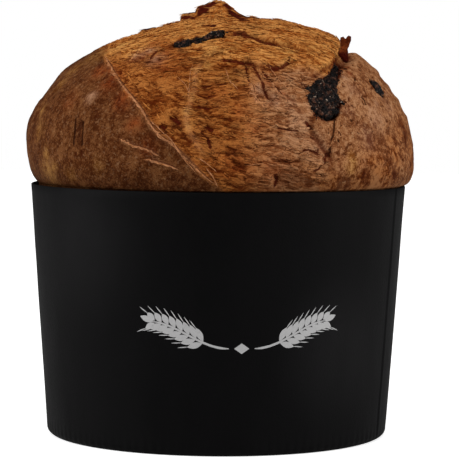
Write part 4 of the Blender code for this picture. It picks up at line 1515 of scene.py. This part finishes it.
def build_ornament(settings, case):
    """A small printed ornament: two mirrored ears of wheat and a lozenge between them."""
    tree = BVHTree.FromObject(case, bpy.context.evaluated_depsgraph_get())
    points, faces = [], []

    def wall(s, t, height):
        """The point of the wall at s mm along it and t mm above the ornament's middle."""
        z = (ORNAMENT_HEIGHT + t) * MM
        turn = math.radians(ORNAMENT_AZIMUTH) + s * MM / case_radius(z)
        outward = Vector((math.cos(turn), math.sin(turn), 0.0))
        hit = tree.ray_cast(outward * 0.2 + Vector((0, 0, z)), -outward)[0]
        return tuple(hit + outward * height)

    def lay(centres, half_widths):
        """Lays a strip on the wall."""
        more, sides = raised_strip(np.asarray(centres, float), half_widths, wall, INK_HALF_THICKNESS * MM)
        start = len(points)
        points.extend(more)
        faces.extend(tuple(start + i for i in side) for side in sides)

    shares = np.linspace(0, 1, 22)
    for mirror in (-1, 1):
        stem = np.stack([mirror * (5.5 + 33 * shares), -5.0 + 11 * np.sin(shares * 1.5) ** 2], -1)
        lay(stem, np.interp(shares, [0, 0.1, 0.9, 1], [0.15, 0.5, 0.42, 0.15]))
        for k, share in enumerate(np.linspace(0.32, 0.96, 8)):
            base = np.array([np.interp(share, shares, axis) for axis in stem.T])
            ahead = np.array([np.interp(share + 0.03, shares, axis) for axis in stem.T])
            heading = (ahead - base) if share < 0.95 else stem[-1] - stem[-2]
            heading = heading / np.linalg.norm(heading)
            for side in (-1, 1):
                turn = side * math.radians(38)
                turned = np.array([heading[0] * math.cos(turn) - heading[1] * math.sin(turn),
                                   heading[0] * math.sin(turn) + heading[1] * math.cos(turn)])
                length = 6.4 - 0.25 * k
                lay(*leaf_outline(base + turned * 0.9, turned, length, 1.35))
                lay(*leaf_outline(base + turned * (length + 0.4), turned * 0.9 + heading * 0.3, 4.2, 0.22, 4))
        lay(*leaf_outline(stem[-1], np.array([mirror * 0.94, 0.34]), 6.2, 1.3))
    centres = np.stack([np.linspace(-3.2, 3.2, 9), np.full(9, -5.0)], -1)
    lay(centres, 2.3 * (1 - np.abs(np.linspace(-0.98, 0.98, 9))))
    mesh = new_mesh("case_ornament", points, faces)
    mesh.set_sharp_from_angle(angle=math.radians(40))
    return new_object("case_ornament", mesh, ink_material(settings))


def knobbly(name, rings, material, size, depth):
    """A closed lump through rings of points, made uneven and granular by noise. Its middle keeps a mark,
    where the material paints glints.
    """
    mesh, points = capped_mesh(name, rings)
    uneven = 0.8 * noise_at(points, size) + 0.6 * noise_at(points + 1.0, 0.4 * size)
    uneven += 0.45 * noise_at(points, 0.2 * size) + 0.25 * noise_at(points + 1.0, 0.1 * size)
    push_out(mesh, points, depth * uneven)
    share = np.repeat((np.arange(len(rings)) + 0.5) / len(rings), [len(ring) for ring in rings])
    middle = smooth_step((share - 0.42) / 0.2) * smooth_step((1.0 - share) / 0.25)
    store(mesh, "middle", [*middle, 0.0, 0.0])
    store(mesh, "rim", np.ones(len(points)))
    return new_object(name, mesh, material)


def lofted_rings(line, half_widths, half_thickness, normals, sides):
    """Rings round a line, as wide as half_widths and flattened along the normals."""
    rings = []
    turns = np.arange(sides) * math.tau / sides
    for k, (centre, heading, normal) in enumerate(zip(line, directions(line), normals)):
        across = np.cross(normal, heading)
        across /= np.linalg.norm(across)
        out = np.cross(heading, across)
        share = (k + 0.5) / len(line)
        ease = max(0.3, math.sin(math.pi * share)) ** 0.35
        ring = np.outer(np.cos(turns) * half_widths[k] * ease, across)
        thickness = half_thickness * min(1.0, 0.45 + 0.55 * half_widths[k] / np.median(half_widths))
        rings.append(centre + ring + np.outer(np.sin(turns) * thickness * ease, out))
    return rings


def widths_along(half_widths, steps):
    """Smoothed half widths in metres, from half widths in mm at a line's stops."""
    return smooth_line(np.array(half_widths)[:, None], steps)[:, 0] * MM


def build_chocolate(settings):
    """The three pieces of chocolate that show in the crust."""
    pieces = []
    for name in CHOCOLATE:
        line, widths, thickness, depth = chocolate_line(name, 12)
        normals = dome_normals(line)
        sunk = line + normals * (relief(line)[0] - depth)[:, None]
        widths = widths * (1.0 + CHOCOLATE_RAGGED[name] * noise_at(line + 3.0, 0.0036))
        rings = lofted_rings(sunk, widths, thickness, normals, 110)
        material = chocolate_material(settings)
        pieces.append(knobbly(f"baked_{name}", rings, material, 0.0042, CHOCOLATE_KNOBS[name]))
    return pieces


def build_scrap(settings):
    """The forked scrap of crust that stands up over the notch: three prongs merged into one body."""
    shell = bmesh.new()
    for stops, half_widths in SCRAP:
        line = smooth_line(np.array(stops) * MM, 8)
        normals = np.tile((0.0, -1.0, 0.0), (len(line), 1))
        rings = lofted_rings(line, widths_along(half_widths, 8), SCRAP_HALF_THICKNESS * MM, normals, 24)
        prong, _ = capped_mesh("prong", rings)
        shell.from_mesh(prong)
        bpy.data.meshes.remove(prong)
    prongs = bpy.data.meshes.new("prongs")
    shell.to_mesh(prongs)
    shell.free()
    scrap = new_object("forked_scrap", prongs)
    merge = scrap.modifiers.new("Merge", "REMESH")
    merge.mode = "VOXEL"
    merge.voxel_size = SCRAP_VOXEL
    mesh = evaluated_mesh(scrap)
    points = vertex_vectors(mesh, "co")
    push_out(mesh, points, 0.35 * MM * noise_at(points, 0.0025) + 0.15 * MM * noise_at(points, 0.0009))
    mesh.shade_smooth()
    mesh.name = "forked_scrap"
    store(mesh, "torn", np.full(len(points), 0.5))
    # Darker red towards the scrap's foot: painted shade where it stands in the notch
    store(mesh, "crest", 0.34 + 0.5 * smooth_step((174.5 - points[:, 2] / MM) / 4))
    store(mesh, "red", np.ones(len(points)))
    mesh.materials.clear()
    mesh.materials.append(crust_material(settings))
    scrap.data = mesh
    return scrap


def random_value(tree, low, high, seed, kind="FLOAT"):
    """A random number or vector for each point."""
    first, output = {"FLOAT": (2, 1), "FLOAT_VECTOR": (0, 0)}[kind]
    inputs = {first: low, first + 1: high, "Seed": seed}
    return wire(tree, "FunctionNodeRandomValue", inputs, output, data_type=kind)


def named(tree, name, kind="FLOAT"):
    """A value kept on the mesh, in a geometry tree."""
    return wire(tree, "GeometryNodeInputNamedAttribute", {"Name": name}, data_type=kind)


def spread_points(tree, given, mark):
    """Points on the ground, as dense as a mark on it says, and the ground's normals there."""
    density = named(tree, mark) * given["Density"]
    inputs = {"Mesh": given["Geometry"], "Seed": given["Seed"], "Density": density}
    node = add(tree, "GeometryNodeDistributePointsOnFaces", inputs)
    return Wire(tree, node.outputs["Points"]), Wire(tree, node.outputs["Normal"])


def copies_on(tree, points, shape, rotation, scale, seed):
    """Copies of a shape on points, each with a tone of its own from -1 to 1."""
    inputs = {"Geometry": points, "Name": "tone", "Value": random_value(tree, -1.0, 1.0, seed)}
    toned = wire(tree, "GeometryNodeStoreNamedAttribute", inputs, data_type="FLOAT", domain="POINT")
    inputs = {"Points": toned, "Instance": shape, "Rotation": rotation, "Scale": scale}
    return wire(tree, "GeometryNodeInstanceOnPoints", inputs)


def build_slivers(loaf, settings):
    """Slivers of torn dough that lie on the cap and the torn dough, along their strands."""
    tree, given, values = geometry_tree("Slivers", {
        "Density": settings.sliver_density,
        "Seed": 11,
        "Length": settings.sliver_length,
        "Width Share": 0.16,
        "Thickness Share": 0.10,
        "Bend": 0.22,
        "Turn": math.radians(16),
        "Tilt": math.radians(5),
        "Lift": 0.00012,
    })
    points, normal = spread_points(tree, given, "ragged")
    upright = wire(tree, "FunctionNodeAlignRotationToVector", {"Vector": normal}, axis="Z")
    inputs = {"Rotation": upright, "Vector": named(tree, "heading", "FLOAT_VECTOR")}
    along = wire(tree, "FunctionNodeAlignRotationToVector", inputs, axis="X", pivot_axis="Z")
    most = vector(tree, given["Tilt"], given["Tilt"], given["Turn"])
    jitter = random_value(tree, scaled(tree, most, -1.0), most, 3, "FLOAT_VECTOR")
    turned = wire(tree, "FunctionNodeRotateRotation", {0: along, 1: jitter}, rotation_space="LOCAL")

    ball = wire(tree, "GeometryNodeMeshUVSphere", {"Segments": 5, "Rings": 4, "Radius": 0.5}, "Mesh")
    x, y, z = parts(tree, wire(tree, "GeometryNodeInputPosition"))
    across = y * given["Width Share"] + z * z * given["Bend"]
    shape = vector(tree, z, across, -1.0 * x * given["Thickness Share"])
    sliver = wire(tree, "GeometryNodeSetPosition", {"Geometry": ball, "Position": shape})

    length = (1.6 * random_value(tree, 0.0, 1.0, 5).math("POWER", 2.0) + 0.45) * given["Length"]
    width = length * random_value(tree, 0.5, 1.3, 6)
    scale = vector(tree, length, width, given["Length"] * random_value(tree, 0.5, 1.0, 7))
    inputs = {"Geometry": points, "Offset": scaled(tree, normal, given["Lift"])}
    laid = wire(tree, "GeometryNodeSetPosition", inputs)
    finish_tree(tree, copies_on(tree, laid, sliver, turned, scale, 8), crust_material(settings))
    return run_tree("dough_slivers", loaf.data.copy(), tree, values)


def build_grains(name, ground, density, settings):
    """Small rough grains of chocolate that lie on a piece, where its mark rim says so."""
    inputs = {"Density": density, "Seed": 4, "Size": settings.grain_size}
    tree, given, values = geometry_tree("Chocolate grains", inputs)
    points, _ = spread_points(tree, given, "rim")
    lump = wire(tree, "GeometryNodeMeshIcoSphere", {"Radius": 0.5, "Subdivisions": 1}, "Mesh")
    spin = random_value(tree, (0.0, 0.0, 0.0), (math.tau, math.tau, math.tau), 2, "FLOAT_VECTOR")
    stretch = random_value(tree, (0.7, 0.7, 0.5), (1.4, 1.1, 0.9), 4, "FLOAT_VECTOR")
    scale = scaled(tree, stretch, random_value(tree, 0.45, 1.5, 3) * given["Size"])
    grains = copies_on(tree, points, lump, spin, scale, 5)
    finish_tree(tree, grains, chocolate_material(settings), smooth=False)
    return run_tree(name, ground.data.copy(), tree, values)


def build_threads(loaf, settings):
    """Thin tapered threads of crust along the folds."""
    ground = BVHTree.FromObject(loaf, bpy.context.evaluated_depsgraph_get())
    points, edges, half_widths = [], [], []
    for stops, half_width in (*narrow_folds(), *THREADS):
        line = smooth_line(Route(stops).line[::2], 3)
        wander = np.stack([noise_at(line + 0.5 * k, 0.004) for k in range(3)], -1) * 0.45 * MM
        start = len(points)
        for point in line + wander:
            hit, normal = ground.find_nearest(Vector(point))[:2]
            points.append(hit + normal * 0.4 * half_width * MM)
            half_widths.append(half_width * MM * (1.0 + 0.35 * noise.noise(hit / 0.003)))
        edges += [(k, k + 1) for k in range(start, len(points) - 1)]
    base = bpy.data.meshes.new("thread_routes")
    base.from_pydata([tuple(point) for point in points], edges, [])
    store(base, "half_width", half_widths)
    # The threads take the folds' painted highlight
    store(base, "fold_near", np.ones(len(points)))
    store(base, "torn", np.full(len(points), 0.7))
    # The threads take the same painted shade and browner baking just above the case
    store(base, "low", low_share(np.array([point.z for point in points])))

    tree, given, values = geometry_tree("Threads", {"Sides": 7, "Taper": 0.12})
    curves = wire(tree, "GeometryNodeMeshToCurve", {"Mesh": given["Geometry"]})
    along = wire(tree, "GeometryNodeSplineParameter", output="Factor")
    taper = along.math("MINIMUM", 1.0 - along) / given["Taper"]
    taper = taper.math("MINIMUM", 1.0).math("MAXIMUM", 0.12)
    ring = wire(tree, "GeometryNodeCurvePrimitiveCircle", {"Resolution": given["Sides"], "Radius": 1.0})
    size = taper * named(tree, "half_width")
    inputs = {"Curve": curves, "Profile Curve": ring, "Fill Caps": True, "Scale": size}
    finish_tree(tree, wire(tree, "GeometryNodeCurveToMesh", inputs), crust_material(settings))
    threads = run_tree("crust_threads", base, tree, values)
    face_outwards(threads.data)
    return threads


def length_setting(name, description, default, precision=4):
    """A setting for a length."""
    return FloatProperty(
        name=name, description=description, default=default, unit="LENGTH", precision=precision)


# Sidebar


def colour_property(name, description, *levels):
    """A colour setting whose default is given as it looks in the studio, as levels from 0 to 255."""
    return FloatVectorProperty(name=name, description=description, subtype="COLOR", default=shade(*levels))


class CrustSettings(bpy.types.PropertyGroup):
    """Colours and relief of the loaf and its chocolate."""

    skin_dark: colour_property("Skin, dark", "Dark of the left lobe's smooth skin", 67, 29, 7)
    skin_middle: colour_property("Skin, middle", "Middle of the left lobe's smooth skin", 90, 48, 22)
    skin_pale: colour_property("Skin, pale", "Pale of the left lobe's smooth skin", 121, 76, 42)
    rosy_dark: colour_property("Rosy skin, dark", "Dark of the rosy right side", 98, 50, 24)
    rosy_middle: colour_property("Rosy skin, middle", "Middle of the rosy right side", 147, 92, 54)
    rosy_pale: colour_property("Rosy skin, pale", "Pale of the rosy right side", 180, 128, 88)
    torn_dark: colour_property("Torn dough, dark", "Dark of the torn middle", 84, 30, 4)
    torn_middle: colour_property("Torn dough, middle", "Middle of the torn middle", 130, 68, 24)
    torn_pale: colour_property("Torn dough, pale", "Pale of the torn middle", 172, 106, 50)
    cap_dark: colour_property("Cap, dark", "Dark of the golden cap", 106, 42, 7)
    cap_middle: colour_property("Cap, middle", "Middle of the golden cap", 162, 92, 36)
    cap_pale: colour_property("Cap, pale", "Pale of the golden cap", 200, 135, 70)
    gold_dark: colour_property("Gold, dark", "Dark of the golden stains", 138, 78, 24)
    gold_pale: colour_property("Gold, pale", "Pale of the golden stains", 204, 152, 84)
    red_dark: colour_property("Red, dark", "Dark of the red stains", 84, 28, 8)
    red_pale: colour_property("Red, pale", "Pale of the red stains", 150, 70, 28)
    pink_dark: colour_property("Pink, dark", "Dark of the pink stains", 122, 72, 48)
    pink_pale: colour_property("Pink, pale", "Pale of the pink stains", 192, 145, 112)
    ember_dark: colour_property("Ember, dark", "Dark of the burnt orange stains", 76, 28, 5)
    ember_middle: colour_property("Ember, middle", "Middle of the burnt orange stains", 116, 57, 20)
    ember_pale: colour_property("Ember, pale", "Pale of the burnt orange stains", 176, 114, 66)
    # Deep brown of the dark stains, partly painted shade, and of the painted shade in slits on the smooth
    # skin
    shadow_dark: colour_property("Deep brown, dark", "Dark of the deep brown stains", 48, 19, 6)
    shadow_pale: colour_property("Deep brown, pale", "Pale of the deep brown stains", 94, 52, 26)
    # Dark of the painted shade in tears, pits, cracks and pores, and beside the folds
    tear_colour: colour_property("Tears", "Dark tears between strands", 72, 26, 7)
    # Pale of the painted highlight along the folds and threads
    fold_colour: colour_property("Folds", "Pale edges of the folds", 200, 138, 94)
    # Dark red of the painted shade in creases, also mixed into the slits and the crest
    crease_colour: colour_property("Creases", "Dark red creases", 74, 19, 8)
    # Dark red laid on the crest's patches, and as painted shade at the scrap's foot
    crest_colour: colour_property("Crest", "Burnt dark red of the crest's edges", 44, 9, 5)
    cream_colour: colour_property("Cream spots", "Pale cream spots of the smooth skin", 188, 142, 102)
    fleck_colour: colour_property("Flecks", "Pale flecks in the skin", 160, 118, 82)
    strand_depth: FloatProperty(
        name="Strand depth", description="Depth of the tears and height of the strands, as a factor",
        default=1.0, min=0.0, max=2.0)
    sliver_density: FloatProperty(
        name="Slivers", description="Slivers of dough on each square metre of torn dough",
        default=230000.0, min=0.0)
    sliver_length: length_setting("Sliver length", "Length of a sliver of middle size", 0.0032)
    grain_size: length_setting("Grain size", "Width of a grain of chocolate", 0.0008)
    chocolate_colour: colour_property("Chocolate", "Baked chocolate", 9, 4, 3)
    chocolate_brown: colour_property("Chocolate, brown", "Browner spots of the chocolate", 92, 57, 41)
    # Pale of the painted glints
    chocolate_glint: colour_property("Chocolate, glint", "Small pale glints of the chocolate", 168, 146, 128)


class CaseSettings(bpy.types.PropertyGroup):
    """Sizes and colours of the paper case."""

    case_height: length_setting("Height", "Height of the case", CASE_HEIGHT)
    rim_radius: length_setting("Rim radius", "Radius of the case at its rim", RIM_RADIUS)
    foot_radius: length_setting("Foot radius", "Radius of the case at its foot", FOOT_RADIUS)
    paper: length_setting("Paper", "Thickness of the case's wall", PAPER)
    pleats: IntProperty(name="Pleats", description="Pleats round the foot", default=120, min=12, max=240)
    pleat_depth: length_setting("Pleat depth", "Depth of a pleat", 0.00012, 5)
    dent_depth: length_setting("Dent depth", "Depth of the soft dents in the wall", 0.0003)
    paper_colour: colour_property("Paper colour", "Black of the paper", 1.2, 1.1, 1.5)
    paper_worn: colour_property("Paper, worn", "Rubbed grain of the paper", 9, 8, 9)
    # Grey of the rubbed wear and of the painted sheen on the front's sides
    paper_rubbed_and_sheen: colour_property("Paper, rubbed", "Greyer rubbed spots of the paper", 46, 45, 46)
    ink_colour: colour_property("Ink", "Grey of the printed ornament", 188, 187, 187)


class StageSettings(bpy.types.PropertyGroup):
    """The plain studio."""

    floor_colour: FloatVectorProperty(
        name="Floor", description="Colour of the floor", subtype="COLOR", default=(0.75, 0.75, 0.75))
    top_light: FloatProperty(name="Top light", description="Strength of the broad top light", default=1.9)
    side_light: FloatProperty(
        name="Side lights", description="Power of each side light", default=4.5, unit="POWER")


class PANETTONE_OT_loaf(bpy.types.Operator):
    """Build the loaf, the slivers and threads on it, and the forked scrap that stands up from it"""

    bl_idname = "panettone.loaf"
    bl_label = "Build loaf"

    def execute(self, context):
        settings = context.scene.panettone_crust
        loaf = build_loaf(settings)
        pieces = (build_slivers(loaf, settings), build_threads(loaf, settings), build_scrap(settings))
        ready(loaf, "crust", "bread")
        for piece in pieces:
            ready(piece, "crust")
        return {"FINISHED"}


class PANETTONE_OT_chocolate(bpy.types.Operator):
    """Build the pieces of chocolate that show in the crust, with their grains"""

    bl_idname = "panettone.chocolate"
    bl_label = "Build chocolate"

    def execute(self, context):
        settings = context.scene.panettone_crust
        pieces = build_chocolate(settings)
        chunk, streak = pieces[:2]
        loaf = bpy.data.objects["loaf_crust"]
        grains = (build_grains("chunk_grains", chunk, GRAINS_ON_CHOCOLATE, settings),
                  build_grains("streak_grains", streak, GRAINS_ON_CHOCOLATE, settings),
                  build_grains("spilled_grains", loaf, GRAINS_SPILLED, settings))
        for piece, node in zip(pieces, CHOCOLATE):
            ready(piece, "chocolate", node)
        for piece in grains:
            ready(piece, "chocolate")
        return {"FINISHED"}


class PANETTONE_OT_case(bpy.types.Operator):
    """Build the paper case and its printed ornament"""

    bl_idname = "panettone.case"
    bl_label = "Build case"

    def execute(self, context):
        settings = context.scene.panettone_case
        case = build_case(settings)
        ornament = build_ornament(settings, case)
        ready(case, "paper", "paper_case")
        ready(ornament, "paper")
        return {"FINISHED"}


def area_light(name, place, target, size, power, colour=(1.0, 1.0, 1.0)):
    """A rectangular light that faces a point."""
    light = bpy.data.lights.new(name, "AREA")
    light.shape = "RECTANGLE"
    light.size, light.size_y = size
    light.energy = power
    light.color = colour
    obj = bpy.data.objects.new(name, light)
    obj.location = place
    obj.rotation_euler = (Vector(place) - Vector(target)).to_track_quat("Z", "Y").to_euler()
    bpy.context.scene.collection.objects.link(obj)
    return obj


class PANETTONE_OT_stage(bpy.types.Operator):
    """Set up the plain studio: floor, lights and camera"""

    bl_idname = "panettone.stage"
    bl_label = "Set up studio"

    def execute(self, context):
        settings = context.scene.panettone_stage
        scene = context.scene
        corners = [(-2, -2, 0), (2, -2, 0), (2, 3, 0), (-2, 3, 0)]
        mesh = bpy.data.meshes.new("floor")
        mesh.from_pydata(corners, [], [(0, 1, 2, 3)])
        material, tree, shader = new_material("pale_floor", settings.floor_colour, 0.9)
        shader.inputs["Specular IOR Level"].default_value = 0.1
        seen = wire(tree, "ShaderNodeLightPath", output="Is Camera Ray")
        shader.inputs["Emission Color"].default_value = (1.0, 1.0, 1.0, 1.0)
        tree.links.new((0.72 * seen).socket, shader.inputs["Emission Strength"])
        new_object("floor", mesh, material)

        world = bpy.data.worlds.new("studio")
        world.use_nodes = True
        scene.world = world
        tree = world.node_tree
        sky = tree.nodes["Background"]
        sky.inputs["Color"].default_value = (1.0, 1.0, 1.0, 1.0)
        seen = wire(tree, "ShaderNodeLightPath", output="Is Camera Ray")
        tree.links.new((0.84 * seen + 0.16).socket, sky.inputs["Strength"])

        top = bpy.data.lights.new("top_light", "SUN")
        top.energy = settings.top_light
        top.angle = math.radians(50)
        hung = bpy.data.objects.new("top_light", top)
        hung.rotation_euler = (math.radians(28), 0.0, math.radians(-12))
        scene.collection.objects.link(hung)
        for name, x in (("left_light", -0.9), ("right_light", 0.9)):
            area_light(name, (x, -0.25, 0.40), (0, 0, 0.1), (0.35, 0.8), settings.side_light)

        camera = bpy.data.cameras.new("camera")
        camera.lens = 189.28
        camera.clip_end = 10
        view = bpy.data.objects.new("camera", camera)
        view.location = (0.0, -1.1, 0.1621)
        turn = Matrix.Rotation(-0.0050, 3, "Z") @ Matrix.Rotation(math.pi / 2 - 0.0633, 3, "X")
        view.rotation_euler = (turn @ Matrix.Rotation(0.0082, 3, "Z")).to_euler()
        scene.collection.objects.link(view)
        scene.camera = view
        scene.view_settings.view_transform = "Standard"
        return {"FINISHED"}


class PANETTONE_PT_panel(bpy.types.Panel):
    """Builds the panettone piece by piece"""

    bl_label = "Panettone"
    bl_idname = "PANETTONE_PT_panel"
    bl_space_type = "VIEW_3D"
    bl_region_type = "UI"
    bl_category = "Panettone"

    def draw(self, context):
        for operator in OPERATORS:
            self.layout.operator(operator.bl_idname)
        for group in SETTINGS:
            for name in SETTINGS[group].__annotations__:
                self.layout.prop(getattr(context.scene, group), name)


OPERATORS = (PANETTONE_OT_loaf, PANETTONE_OT_chocolate, PANETTONE_OT_case, PANETTONE_OT_stage)
SETTINGS = {
    "panettone_crust": CrustSettings,
    "panettone_case": CaseSettings,
    "panettone_stage": StageSettings,
}


def register():
    for kind in (*SETTINGS.values(), *OPERATORS, PANETTONE_PT_panel):
        bpy.utils.register_class(kind)
    for name, kind in SETTINGS.items():
        setattr(bpy.types.Scene, name, PointerProperty(type=kind))


def unregister():
    for name in SETTINGS:
        delattr(bpy.types.Scene, name)
    for kind in (PANETTONE_PT_panel, *reversed(OPERATORS), *reversed(SETTINGS.values())):
        bpy.utils.unregister_class(kind)


def main():
    register()
    bpy.ops.panettone.loaf()
    bpy.ops.panettone.chocolate()
    bpy.ops.panettone.case()
    bpy.ops.panettone.stage()


if __name__ == "__main__":
    main()
